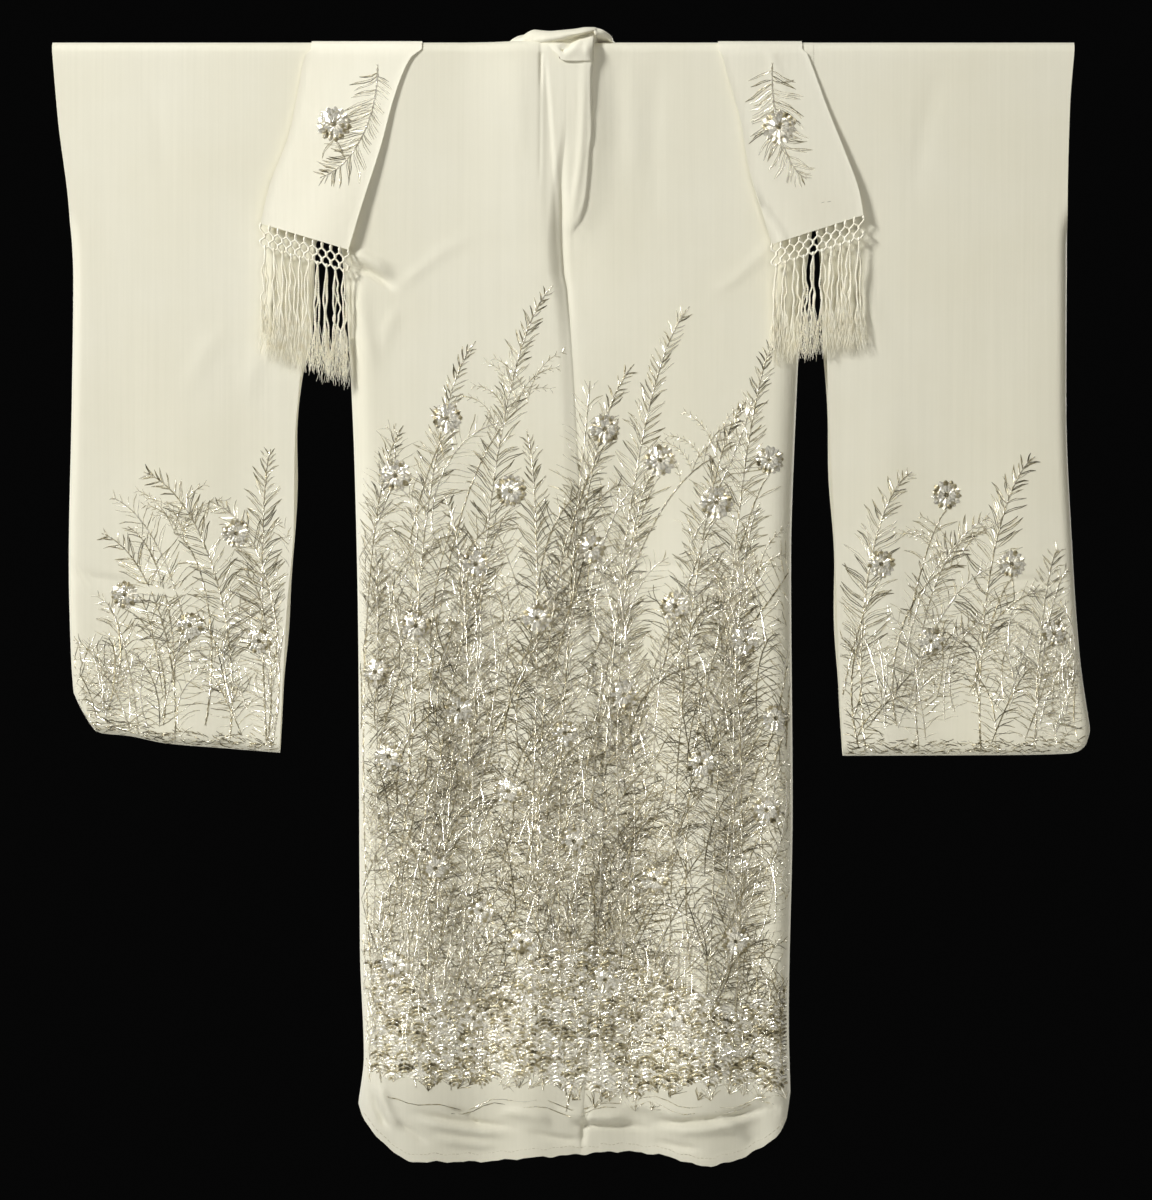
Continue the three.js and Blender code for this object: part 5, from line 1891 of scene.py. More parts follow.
    def build(self) -> Piece:
        """Builds the fringe.

        Returns:
            the piece.
        """
        self.net()
        self.yarns()
        return tubes(f"sash_fringe_{self.end.side.name.lower()}_yarn", self.paths, self.radii, 4)


# ---- the rod ----
@dataclass
class Rod:
    """The dowel that carries the robe, with softened ends."""

    sides: int = 48
    chamfer: float = 0.002

    def build(self) -> Piece:
        """Builds the rod.

        Returns:
            the piece.
        """
        low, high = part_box("rod")
        ends = [low[0], low[0] + self.chamfer * 0.3, low[0] + self.chamfer]
        ends += [high[0] - self.chamfer, high[0] - self.chamfer * 0.3, high[0]]
        chamfered = ROD_RADIUS - self.chamfer
        radii = [chamfered, ROD_RADIUS - self.chamfer * 0.3, ROD_RADIUS]
        path = np.array([[x, 0.0, 0.0] for x in ends])
        return tubes("rod_dowel", [path], [np.array(radii + radii[::-1])], self.sides)


# ---- the embroidery ----
SLOPE_STEP = 0.0015  # half the distance over which a wall's slope is taken
THREAD_SUNK = 0.00018  # how far a thread's foot lies in the silk
SEAM_MARGIN = 0.003  # how far stitches keep from a side seam
STITCH_LENGTH = 0.0034  # the hem's running stitch
STITCH_PITCH = 0.0052
FIRST_PANEL_SEED = 21


@dataclass(frozen=True)
class Thread:
    """One couched thread or satin stitch on a wall."""

    path: Array  # places as x and drop
    width: Array  # at each place
    height: float
    tone: float
    lift: float  # how high it lies above the silk


@dataclass
class Panel:
    """A stretch of wall that carries stitches."""

    name: str
    face: Face
    surface: Surface
    inside: Callable[[Array, Array], Array]
    wall: float = SILK


@dataclass
class Needlework:
    """Grasses, fern and chrysanthemums by a stream, couched in silver thread on one panel."""

    panel: Panel
    seed: int
    thread_width: float = 0.0011
    thread_height: float = 0.0004
    threads: list[Thread] = field(default_factory=list)

    def __post_init__(self) -> None:
        """Starts the panel's own random draws."""
        self.draw = random.Random(self.seed)

    def lay(
        self, path: Array, tone: float, width: Array | float = 0.0, lift: float = 0.0, height: float = 0.0
    ) -> None:
        """Lays a thread, cut where it would leave the panel.

        Args:
            path: its places.
            tone: how bright it is.
            width: its width, or one at each place; 0 for the usual one.
            lift: how high it lies.
            height: how thick it is; 0 for the usual thickness.
        """
        keep = self.panel.inside(path[:, 0], path[:, 1])
        count = len(path) if keep.all() else int(np.argmin(keep))
        if count < 2:
            return
        widths = np.broadcast_to(width if np.ndim(width) else width or self.thread_width, (len(path),))
        self.threads.append(Thread(path[:count], widths[:count], height or self.thread_height, tone, lift))

    def stem(self, root: tuple[float, float], tip: tuple[float, float], bow: float, count: int) -> Array:
        """A stem's places from its root to its tip, which nods over.

        Args:
            root: x and drop of its foot.
            tip: x and drop of its end.
            bow: how far its middle stands aside.
            count: how many places.

        Returns:
            count places.
        """
        t = np.linspace(0, 1, count)[:, None]
        a, d = np.array(root), np.array(tip)
        rise = d[1] - a[1]
        b = np.array([a[0] + bow, a[1] + rise * 0.42])
        c = np.array([lerp(a[0], d[0], 0.45) + bow, a[1] + rise * 0.92])
        return a * (1 - t) ** 3 + 3 * b * t * (1 - t) ** 2 + 3 * c * t * t * (1 - t) + d * t**3

    def leaflet(
        self, start: Array, heading: float, length: float, curl: float, leaf: Leaf, tone: float
    ) -> None:
        """One leaflet that curls as it runs out.

        Args:
            start: x and drop of its foot.
            heading: its first direction, in radians from straight up towards +x.
            length: its length.
            curl: how far it turns on its way.
            leaf: how it is couched.
            tone: how bright it is.
        """
        count = 4 if length < 0.026 else 5
        t = np.linspace(0, 1, count)
        angle = heading + curl * t**1.2 + 0.16 * np.sin(6.0 * t + 90.0 * start[0] + 70.0 * start[1])
        step = length / (count - 1)
        moves = np.stack([np.sin(angle[:-1]), -np.cos(angle[:-1])], -1) * step
        path = np.concatenate([start[None], start + moves.cumsum(axis=0)])
        if leaf is Leaf.LINE:
            self.lay(path, tone)
            return
        belly = 0.036 * length * np.sin(math.pi * t**0.8)[:, None]
        aside = np.stack([np.cos(angle), np.sin(angle)], -1)
        for hand in (-1, 1):
            self.lay(path + aside * belly * hand, tone + 0.12 * hand)

    def quill(self, stem: Array, tone: float) -> None:
        """A stem wound from two strands that cross each other.

        Args:
            stem: its places.
            tone: how bright it is.
        """
        runs = np.concatenate([[0.0], np.linalg.norm(np.diff(stem, axis=0), axis=1).cumsum()])
        if runs[-1] < 0.14:
            self.lay(stem, tone, self.thread_width * 1.3, 0.0002)
            return
        place = np.linspace(0.0, runs[-1], int(runs[-1] / 0.0072) + 2)
        middle = np.stack([np.interp(place, runs, stem[:, i]) for i in (0, 1)], -1)
        ahead = unit(np.gradient(middle, axis=0))
        aside = np.stack([-ahead[:, 1], ahead[:, 0]], -1)
        thin = (1.0 - 0.6 * place / runs[-1])[:, None]
        for strand in (0, 1):
            swing = np.where((np.arange(len(place)) + strand) % 2 == 0, 1.0, -1.0)[:, None]
            path = middle + aside * swing * thin * 0.0009
            self.lay(path, tone + 0.2 * strand, self.thread_width * 1.15, 0.0002)

    def frond(
        self, stem: Array, reach: float, spacing: float, leaf: Leaf, tone: float, bare: float = 0.12
    ) -> None:
        """A stem with leaflets on both hands, longest at a third of its length.

        Args:
            stem: its places.
            reach: the longest leaflet.
            spacing: distance between leaflets along the stem.
            leaf: how they are couched.
            tone: how bright they are.
            bare: share of the stem with no leaflets.
        """
        draw = self.draw
        runs = np.linalg.norm(np.diff(stem, axis=0), axis=1)
        measured = np.concatenate([[0.0], runs.cumsum()])
        whole = measured[-1]
        self.quill(stem, tone)
        place = whole * bare
        while place < whole * 0.985:
            share = place / whole
            at = np.array([np.interp(place, measured, stem[:, i]) for i in (0, 1)])
            ahead = np.array([np.interp(min(place + 0.004, whole), measured, stem[:, i]) for i in (0, 1)])
            ahead = ahead - at
            up = math.atan2(ahead[0], -ahead[1])
            size = reach * math.sin(math.pi * min(0.97, 0.16 + 0.80 * share)) ** 0.7
            for hand in (-1, 1):
                if draw.random() < 0.06:
                    continue
                open_angle = lerp(1.20, 0.55, share) + draw.uniform(-0.2, 0.2)
                curl = draw.uniform(-0.15, 0.95) * hand * lerp(1.0, 0.5, share)
                length = size * draw.uniform(0.72, 1.12)
                if length < 0.004:
                    continue
                shade = tone + draw.uniform(-0.55, 0.55)
                self.leaflet(at, up + hand * open_angle, length, curl, leaf, shade)
            place += spacing * draw.uniform(0.8, 1.2)

    def plume(self, stem: Array, reach: float, tone: float) -> None:
        """A pampas ear at a stem's end: drooping rays with short seed strokes.

        Args:
            stem: its stem.
            reach: the longest ray.
            tone: how bright it is.
        """
        draw = self.draw
        rays = 7
        for k in range(rays):
            at = stem[-1 - k // 2]
            hand = 1 if k % 2 else -1
            heading = 0.25 * hand + draw.uniform(-0.2, 0.2)
            angle = heading + (0.9 + 1.1 * (k / rays)) * hand * np.linspace(0, 1, 9) ** 1.2
            step = reach * draw.uniform(0.7, 1.0) / 8
            moves = np.stack([np.sin(angle[:-1]), -np.cos(angle[:-1])], -1) * step
            ray = np.concatenate([at[None], at + moves.cumsum(axis=0)])
            self.lay(ray, tone)
            for j in range(1, 9):
                for out in (-1, 1):
                    aim = float(angle[j]) + out * 0.6
                    self.leaflet(ray[j], aim, 0.008, 0.2 * out, Leaf.LINE, tone + 0.2)

    def chrysanthemum(self, x: float, drop: float, radius: float) -> None:
        """A round flower head: two rings of satin petals round a wound heart.

        Args:
            x: its centre.
            drop: its centre.
            radius: its outer radius.
        """
        draw = self.draw
        turn = draw.uniform(0, 1)
        rings = ((15, 0.28, 1.0, 0.0002, 0.72), (11, 0.12, 0.66, 0.0010, 0.98))
        for petals, inner, outer, lift, tone in rings:
            for petal in range(petals):
                angle = 2 * math.pi * (petal + turn) / petals + draw.uniform(-0.05, 0.05)
                span = np.linspace(inner, outer * draw.uniform(0.93, 1.0), 5) * radius
                path = np.stack([x + np.sin(angle) * span, drop - np.cos(angle) * span], -1)
                broad = 2 * math.pi / petals * outer * radius * np.array([0.30, 0.62, 0.86, 0.92, 0.46])
                self.lay(path, tone + draw.uniform(-0.22, 0.2), broad, lift, 0.0008)
        t = np.linspace(0, 1, 18)
        spin, span = 2 * math.pi * 2.2 * t, radius * (0.03 + 0.15 * t)
        heart = np.stack([x + np.sin(spin) * span, drop - np.cos(spin) * span], -1)
        self.lay(heart, 0.35, self.thread_width * 1.2, 0.0011)

    def ripple(self, x0: float, x1: float, drop: float, tone: float) -> None:
        """One flowing line of the stream.

        Args:
            x0: where it starts.
            x1: where it ends.
            drop: its drop.
            tone: how bright it is.
        """
        count = max(6, int((x1 - x0) / 0.012))
        x = np.linspace(x0, x1, count)
        wave = 0.006 * np.sin(x * 38.0 + drop * 60.0) + 0.0035 * np.sin(x * 90.0 + drop * 33.0)
        self.lay(np.stack([x, drop + wave], -1), tone)

    def waves(
        self, low: float, high: float, top: Callable[[float], float], foot: Callable[[float], float]
    ) -> None:
        """A band of the stream: rows of overlapping fans, each of three satin arcs.

        Args:
            low: the band's lowest x.
            high: its highest x.
            top: the drop where it starts, at an x.
            foot: the drop where it ends.
        """
        draw, radius = self.draw, 0.0165
        angle = np.linspace(-1.03, 1.03, 7)
        arc = np.stack([np.sin(angle), -np.cos(angle)], -1)
        highest = min(top(x) for x in (low, (low + high) / 2, high)) - 0.03
        for row in range(40):
            drop = highest + row * radius / 2
            for column in range(int((high - low) / radius / 2) + 2):
                x = low + (2 * column + row % 2) * radius
                if not top(x) <= drop <= foot(x):
                    continue
                tone = draw.uniform(0.45, 0.95)
                for share, broad in ((0.93, 0.0046), (0.64, 0.0042), (0.35, 0.0036)):
                    fan = np.array([x, drop]) + arc * radius * share
                    self.lay(fan, tone + draw.uniform(-0.2, 0.2), broad, 0.0001, 0.0006)

    def edging(self, low: float, high: float, foot: Callable[[float], float]) -> None:
        """A bunched row of short stitches over an edge.

        Args:
            low: the lowest x.
            high: the highest x.
            foot: the edge's drop at an x.
        """
        draw = self.draw
        x = low
        while x < high:
            at = np.array([x, foot(x) - 0.017 * draw.random() ** 1.3])
            heading = draw.choice((-1, 1)) * draw.uniform(0.9, 1.9)
            self.leaflet(at, heading, draw.uniform(0.007, 0.015), 0.3, Leaf.LINE, draw.uniform(0.0, 0.9))
            x += draw.uniform(0.0008, 0.0017)

    def tuft(self, x: float, drop: float, size: float, lean: float, tone: float) -> None:
        """A fan of short strokes from one foot.

        Args:
            x: its foot.
            drop: its foot.
            size: its longest stroke.
            lean: how far it leans.
            tone: how bright it is.
        """
        draw = self.draw
        at = np.array([x, drop])
        for k in range(6):
            heading = lean + (k - 2.5) * 0.26 + draw.uniform(-0.1, 0.1)
            length = size * draw.uniform(0.6, 1.0)
            shade = tone + draw.uniform(-0.2, 0.2)
            self.leaflet(at, heading, length, (k - 2.5) * 0.22, Leaf.LINE, shade)

    def build(self, name: str, low: float = -1.0, high: float = 1.0) -> Piece:
        """The threads that start between two x places as one piece, each a low ridge on the cloth.

        Args:
            name: the piece's name.
            low: the least x of a thread's start.
            high: the greatest x of its start.

        Returns:
            the piece, with each thread's tone on its points.
        """
        threads = [thread for thread in self.threads if low <= thread.path[0, 0] < high]
        points: list[Array] = []
        faces: list[Array] = []
        tones: list[Array] = []
        runs: list[Array] = []
        base = 0
        for count in sorted({len(thread.path) for thread in threads}):
            group = [thread for thread in threads if len(thread.path) == count]
            rings, colour, run = self.rings(group)
            total = len(group) * count
            k = base + np.arange(total * 3).reshape(len(group), count, 3)
            low, high = k[..., :2], k[..., 1:]
            quads = np.stack([low[:, :-1], high[:, :-1], high[:, 1:], low[:, 1:]], -1).reshape(-1, 4)
            faces.extend(quads.tolist())
            points.append(rings.reshape(-1, 3))
            tones.append(colour.ravel())
            runs.append(run.ravel())
            base += total * 3
        obj = new_mesh(name, np.concatenate(points), faces, False)
        tone = obj.data.attributes.new("tone", "FLOAT", "POINT")
        tone.data.foreach_set("value", np.concatenate(tones))
        run = obj.data.attributes.new("run", "FLOAT_VECTOR", "POINT")
        run.data.foreach_set("vector", np.concatenate(runs))
        return obj

    def rings(self, group: list[Thread]) -> tuple[Array, Array, Array]:
        """The three points of each thread's section at each of its places, their tones and their runs.

        Args:
            group: threads with equally many places.

        Returns:
            points by thread, place and corner; a tone for each; and for each its distance along the thread
            with the thread's own number beside it.
        """
        panel, sign = self.panel, self.panel.face.value
        path = np.stack([thread.path for thread in group])
        x, drop = path[..., 0], path[..., 1]
        width = np.stack([thread.width for thread in group])
        thick = np.array([thread.height for thread in group])[:, None]
        lift = np.array([thread.lift for thread in group])[:, None]
        tone = np.array([thread.tone for thread in group])[:, None]
        steps = SLOPE_STEP
        depth = panel.surface(x, drop)
        slope_x = (panel.surface(x + steps, drop) - panel.surface(x - steps, drop)) / (2 * steps)
        slope_z = (panel.surface(x, drop - steps) - panel.surface(x, drop + steps)) / (2 * steps)
        normal = unit(np.stack([-slope_x, np.full_like(x, sign), -slope_z], -1))
        middle = placed(x, depth, drop, panel.face)
        tangent = unit(np.gradient(middle, axis=1))
        aside = np.cross(normal, tangent)
        draws = np.random.default_rng(self.seed + len(group) + path.shape[1])
        rise = panel.wall / 2 + lift + draws.uniform(0, 0.00022, (len(group), 1))
        taper = np.ones(path.shape[1])
        taper[[0, -1]] = 0.55
        half = width / 2 * taper
        tilt = draws.uniform(-0.8, 0.8, x.shape) * np.minimum(1.0, self.thread_width / width)
        height = thick * taper * draws.uniform(0.6, 1.4, x.shape)
        foot = middle + normal * (rise - THREAD_SUNK)[..., None]
        top = middle + normal * (rise + height)[..., None] + aside * (half * tilt)[..., None]
        corners = np.stack([foot + aside * half[..., None], top, foot - aside * half[..., None]], axis=2)
        shade = np.clip(tone + draws.uniform(-0.22, 0.22, x.shape), 0, 1)
        lengths = np.linalg.norm(np.diff(middle, axis=1), axis=2).cumsum(axis=1)
        ahead = np.concatenate([np.zeros((len(group), 1)), lengths], axis=1)[..., None]
        ahead = ahead - half[..., None] * np.array([0.8, 0.0, 0.8])
        number = np.broadcast_to(draws.uniform(0, 50, (len(group), 1, 1)), ahead.shape)
        return corners, np.repeat(shade[..., None], 3, axis=2), np.stack([ahead, number, 0 * ahead], -1)


def bank_at(plan: "MeadowPlan", x: float) -> float:
    """The drop of the ground at a place.

    Args:
        plan: the panel's plan.
        x: the place.

    Returns:
        its drop.
    """
    if plan.foot is not None:
        return float(plan.foot.at(np.array(x)))
    return plan.bank + 0.010 * math.sin(11.0 * x + 0.6) + 0.006 * math.sin(29.0 * x)


def meadow(work: Needlework, low: float, high: float, plan: "MeadowPlan") -> None:
    """Fills a hanging panel with growth, thick at its foot and thin at its top.

    Args:
        work: the panel's needlework.
        low: the panel's lowest x.
        high: its highest x.
        plan: how much grows where.
    """
    draw = work.draw
    if plan.stream > 0:
        work.waves(
            low,
            high,
            lambda x: bank_at(plan, x) - plan.stream * (1.0 + 0.3 * math.sin(17.0 * x + 1.0)),
            lambda x: bank_at(plan, x),
        )
    for root_x, tip_x, tip_drop, bow in plan.tall:
        stem = work.stem((root_x, bank_at(plan, root_x)), (tip_x, tip_drop), bow, 30)
        work.frond(stem, plan.reach, plan.spacing, Leaf.LENS, draw.uniform(0.50, 0.80), 0.30)
    for root_x, tip_x, root_drop, tip_drop, bow in plan.plumes:
        stem = work.stem((root_x, root_drop), (tip_x, tip_drop), bow, 22)
        work.quill(stem, 0.5)
        work.plume(stem, 0.085, 0.6)
    for _ in range(plan.middles):
        x = draw.uniform(low, high)
        foot = min(lerp(plan.middle_from, plan.bank, draw.random() ** 0.75), bank_at(plan, x) - 0.003)
        size = draw.uniform(0.13, 0.24)
        tip = (x + plan.wind * draw.uniform(-0.02, 0.12), foot - size)
        stem = work.stem((x, foot), tip, draw.uniform(-0.02, 0.05), 12)
        work.frond(stem, plan.reach * 0.85, plan.spacing * 1.1, Leaf.LINE, draw.uniform(0.35, 1.05), 0.03)
    for _ in range(plan.shorts):
        x = draw.uniform(low, high)
        foot = min(lerp(plan.short_from, plan.bank, draw.random() ** 0.7), bank_at(plan, x) - 0.003)
        size = draw.uniform(0.07, 0.13)
        tip = (x + plan.wind * draw.uniform(-0.045, 0.085), foot - size)
        stem = work.stem((x, foot), tip, draw.uniform(-0.022, 0.030), 7)
        work.frond(stem, 0.036, plan.spacing * 1.12, Leaf.LINE, draw.uniform(0.15, 1.25), 0.02)
    for x, drop, radius in plan.flowers:
        work.chrysanthemum(x, drop, radius)
        foot = (x - 0.05 * plan.wind, drop + 0.17)
        work.quill(work.stem(foot, (x, drop + radius), 0.012, 14), 0.5)
        for hand in (-1, 1):
            for step in (0.050, 0.088):
                start = np.array([x - 0.3 * step * plan.wind, drop + step])
                work.leaflet(start, hand * 0.9, 0.034, 0.5 * hand, Leaf.LENS, 0.7)
    if plan.foot is not None:
        work.edging(low, high, lambda x: bank_at(plan, x))
        return
    x = low
    while x < high:
        size = draw.uniform(0.012, 0.034)
        drop = bank_at(plan, x) + draw.uniform(-0.016, 0.012)
        lean = draw.uniform(-0.5, 0.7) * plan.wind
        work.tuft(x, drop, size, lean, draw.uniform(0.3, 0.9))
        x += draw.uniform(0.005, 0.026)
    for line in range(plan.ripples):
        x = low + draw.uniform(0.0, 0.03)
        while x < high - 0.03:
            end = min(high, x + draw.uniform(0.06, 0.15))
            work.ripple(x, end, plan.bank + 0.014 + 0.0070 * line, draw.uniform(0.35, 0.75))
            x = end + draw.uniform(0.008, 0.03)


@dataclass(frozen=True)
class MeadowPlan:
    """Where the growth of one panel stands. Drops are in the wall's own measure."""

    bank: float
    tall: tuple[tuple[float, float, float, float], ...]  # root x, tip x, tip drop, bow
    plumes: tuple[tuple[float, float, float, float, float], ...]  # root x, tip x, root drop, tip drop, bow
    flowers: tuple[tuple[float, float, float], ...]  # x, drop, radius
    middles: int
    middle_from: float
    shorts: int
    short_from: float
    wind: float
    reach: float = 0.054
    spacing: float = 0.0085
    ripples: int = 2
    stream: float = 0.0  # height of the band of waves above the bank
    foot: Profile | None = None  # the ground's drop by x, where it follows an edge


BACK_PLAN = MeadowPlan(
    bank=1.366,
    tall=(
        (-0.250, -0.222, 0.500, -0.040), (-0.205, -0.128, 0.390, -0.030), (-0.160, -0.170, 0.590, 0.035),
        (-0.120, -0.028, 0.318, -0.035), (-0.075, -0.062, 0.505, 0.030), (-0.040, 0.010, 0.600, -0.020),
        (-0.010, 0.078, 0.420, -0.030), (0.035, 0.150, 0.345, -0.015), (0.080, 0.104, 0.560, -0.040),
        (0.125, 0.222, 0.470, -0.010), (0.175, 0.262, 0.385, 0.000), (0.225, 0.242, 0.600, -0.030),
        (-0.265, -0.258, 0.660, 0.010), (-0.185, -0.090, 0.660, -0.020), (0.060, 0.045, 0.680, 0.030),
        (0.200, 0.180, 0.690, 0.030),
    ),
    plumes=(
        (-0.180, -0.060, 1.200, 0.470, -0.040), (0.030, 0.185, 1.150, 0.540, -0.030),
        (-0.240, -0.205, 1.180, 0.690, 0.030), (0.150, 0.240, 1.200, 0.700, -0.020),
    ),
    flowers=(
        (-0.232, 0.565, 0.0215), (-0.165, 0.490, 0.0205), (-0.082, 0.585, 0.0220), (-0.128, 0.680, 0.0200),
        (0.040, 0.505, 0.0210), (0.112, 0.545, 0.0215), (0.185, 0.600, 0.0225), (0.254, 0.545, 0.0195),
        (-0.205, 0.760, 0.0215), (-0.048, 0.750, 0.0200), (0.022, 0.660, 0.0205), (0.132, 0.735, 0.0210),
        (0.222, 0.780, 0.0200), (-0.150, 0.870, 0.0200), (0.065, 0.850, 0.0205), (-0.240, 0.930, 0.0200),
        (-0.085, 0.975, 0.0195), (0.165, 0.940, 0.0200), (0.250, 1.000, 0.0205), (0.000, 1.040, 0.0195),
        (-0.180, 1.075, 0.0200), (0.105, 1.090, 0.0200), (-0.232, 1.200, 0.0200), (-0.068, 1.170, 0.0190),
        (0.210, 1.170, 0.0205), (0.040, 1.220, 0.0190), (-0.130, 1.270, 0.0190), (0.130, 1.270, 0.0190),
        (-0.258, 0.820, 0.0185), (-0.012, 0.900, 0.0185), (0.262, 0.880, 0.0190), (-0.120, 1.130, 0.0180),
    ),
    middles=58,
    middle_from=0.64,
    shorts=370,
    short_from=0.72,
    wind=1.0,
    stream=0.150,
)
FRONT_PLAN = MeadowPlan(
    bank=1.362,
    tall=((-0.230, -0.180, 0.620, 0.020), (-0.120, -0.100, 0.760, 0.030), (0.020, 0.070, 0.930, -0.020)),
    plumes=((-0.180, -0.235, 1.200, 0.800, 0.030),),
    flowers=(
        (-0.220, 0.830, 0.0190), (-0.130, 0.930, 0.0185), (0.090, 1.020, 0.0185), (-0.040, 1.080, 0.0180),
        (-0.200, 1.120, 0.0180), (0.060, 1.220, 0.0175),
    ),
    middles=14,
    middle_from=0.84,
    shorts=84,
    short_from=0.92,
    wind=-1.0,
    stream=0.100,
)
RIGHT_FRONT_PLAN = MeadowPlan(
    bank=1.362,
    tall=((0.215, 0.250, 0.640, -0.010),),
    plumes=(),
    flowers=((0.225, 0.860, 0.0185), (0.200, 1.080, 0.0180)),
    middles=6,
    middle_from=0.84,
    shorts=28,
    short_from=0.92,
    wind=-1.0,
    stream=0.100,
)
LEFT_SLEEVE_PLAN = MeadowPlan(
    bank=0.918,
    tall=(
        (-0.395, -0.470, 0.600, 0.030), (-0.450, -0.560, 0.560, 0.020), (-0.520, -0.615, 0.640, 0.010),
        (-0.400, -0.395, 0.530, -0.010),
    ),
    plumes=((-0.480, -0.520, 0.890, 0.640, 0.020),),
    flowers=(
        (-0.440, 0.640, 0.0195), (-0.585, 0.720, 0.0190), (-0.500, 0.760, 0.0185), (-0.410, 0.780, 0.0180),
    ),
    middles=5,
    middle_from=0.80,
    shorts=24,
    short_from=0.84,
    wind=-1.0,
    reach=0.048,
    foot=Profile(
        (
            (-0.652, 0.850), (-0.640, 0.876), (-0.624, 0.895), (-0.585, 0.901), (-0.530, 0.912),
            (-0.386, 0.9235),
        )
    ),
)
RIGHT_SLEEVE_PLAN = MeadowPlan(
    bank=0.922,
    tall=(
        (0.380, 0.440, 0.560, -0.020), (0.450, 0.540, 0.620, -0.020), (0.530, 0.600, 0.540, -0.010),
        (0.600, 0.630, 0.660, 0.000),
    ),
    plumes=((0.420, 0.500, 0.890, 0.680, -0.020),),
    flowers=(
        (0.400, 0.680, 0.0190), (0.485, 0.590, 0.0200), (0.570, 0.680, 0.0190), (0.625, 0.770, 0.0180),
        (0.465, 0.780, 0.0185),
    ),
    middles=7,
    middle_from=0.79,
    shorts=34,
    short_from=0.82,
    wind=1.0,
    reach=0.048,
    foot=Profile(((0.350, 0.9275), (0.570, 0.9265), (0.650, 0.923), (0.666, 0.914), (0.672, 0.898))),
)


def within_back(x: Array, drop: Array) -> Array:
    """Whether a place lies on the back, clear of its side seams and hem."""
    left, right = SIDE_SEAM[Side.LEFT].at(drop), SIDE_SEAM[Side.RIGHT].at(drop)
    return (x > left + SEAM_MARGIN) & (x < right - SEAM_MARGIN) & (drop < 1.40)


def within_left_front(x: Array, drop: Array) -> Array:
    """Whether a place lies on the left front or its overlap, clear of the collar."""
    edge = FRONT_EDGE[Side.LEFT].at(drop) - 0.004
    return (x > SIDE_SEAM[Side.LEFT].at(drop) + SEAM_MARGIN) & (x < edge) & (drop < 1.395)


def within_right_front(x: Array, drop: Array) -> Array:
    """Whether a place lies on the part of the right front that the left one leaves bare."""
    return (x > 0.158) & (x < SIDE_SEAM[Side.RIGHT].at(drop) - SEAM_MARGIN) & (drop < 1.395)


def within_sleeve(cut: SleeveCut) -> Callable[[Array, Array], Array]:
    """The test for a place on a sleeve, clear of its edges.

    Args:
        cut: the sleeve's outline.

    Returns:
        the test.
    """

    def inside(x: Array, drop: Array) -> Array:
        """Whether a place lies on the sleeve.

        Args:
            x: places along the rod.
            drop: their drops.

        Returns:
            true for each place that does.
        """
        sign = cut.side.value
        inner, outer = cut.inner.at(drop), cut.outer.at(drop)
        share = np.clip((x - inner) / (outer - inner), 0, 1)
        low = cut.bottom.at(share) - 0.0015
        return ((x - inner) * sign > 0.002) & ((outer - x) * sign > 0.003) & (drop < low)

    return inside


def left_front_surface(x: Array, drop: Array) -> Array:
    """The depth of the left front and its overlap."""
    beyond = front_wall(x, drop) + OVERLAP_LIFT
    return np.where(x < 0, front_depth(Side.LEFT)(x, drop), beyond)


def hem_stitches(face: Face, surface: Surface, low: float, high: float, name: str) -> Piece:
    """The running stitch that holds the turned-up hem.

    Args:
        face: the back or the front.
        surface: that wall's depth.
        low: the lowest x.
        high: the highest x.
        name: the piece's name.

    Returns:
        the stitches as one piece.
    """
    work = Needlework(Panel(name, face, surface, lambda x, drop: np.ones_like(x, bool)), 41, 0.0013, 0.0005)
    x = low
    while x < high - 0.004:
        ends = np.array([x, x + STITCH_LENGTH])
        work.lay(np.stack([ends, hem_drop(ends) - HEM_BAND], -1), 0.1)
        x += STITCH_PITCH
    return work.build(name)


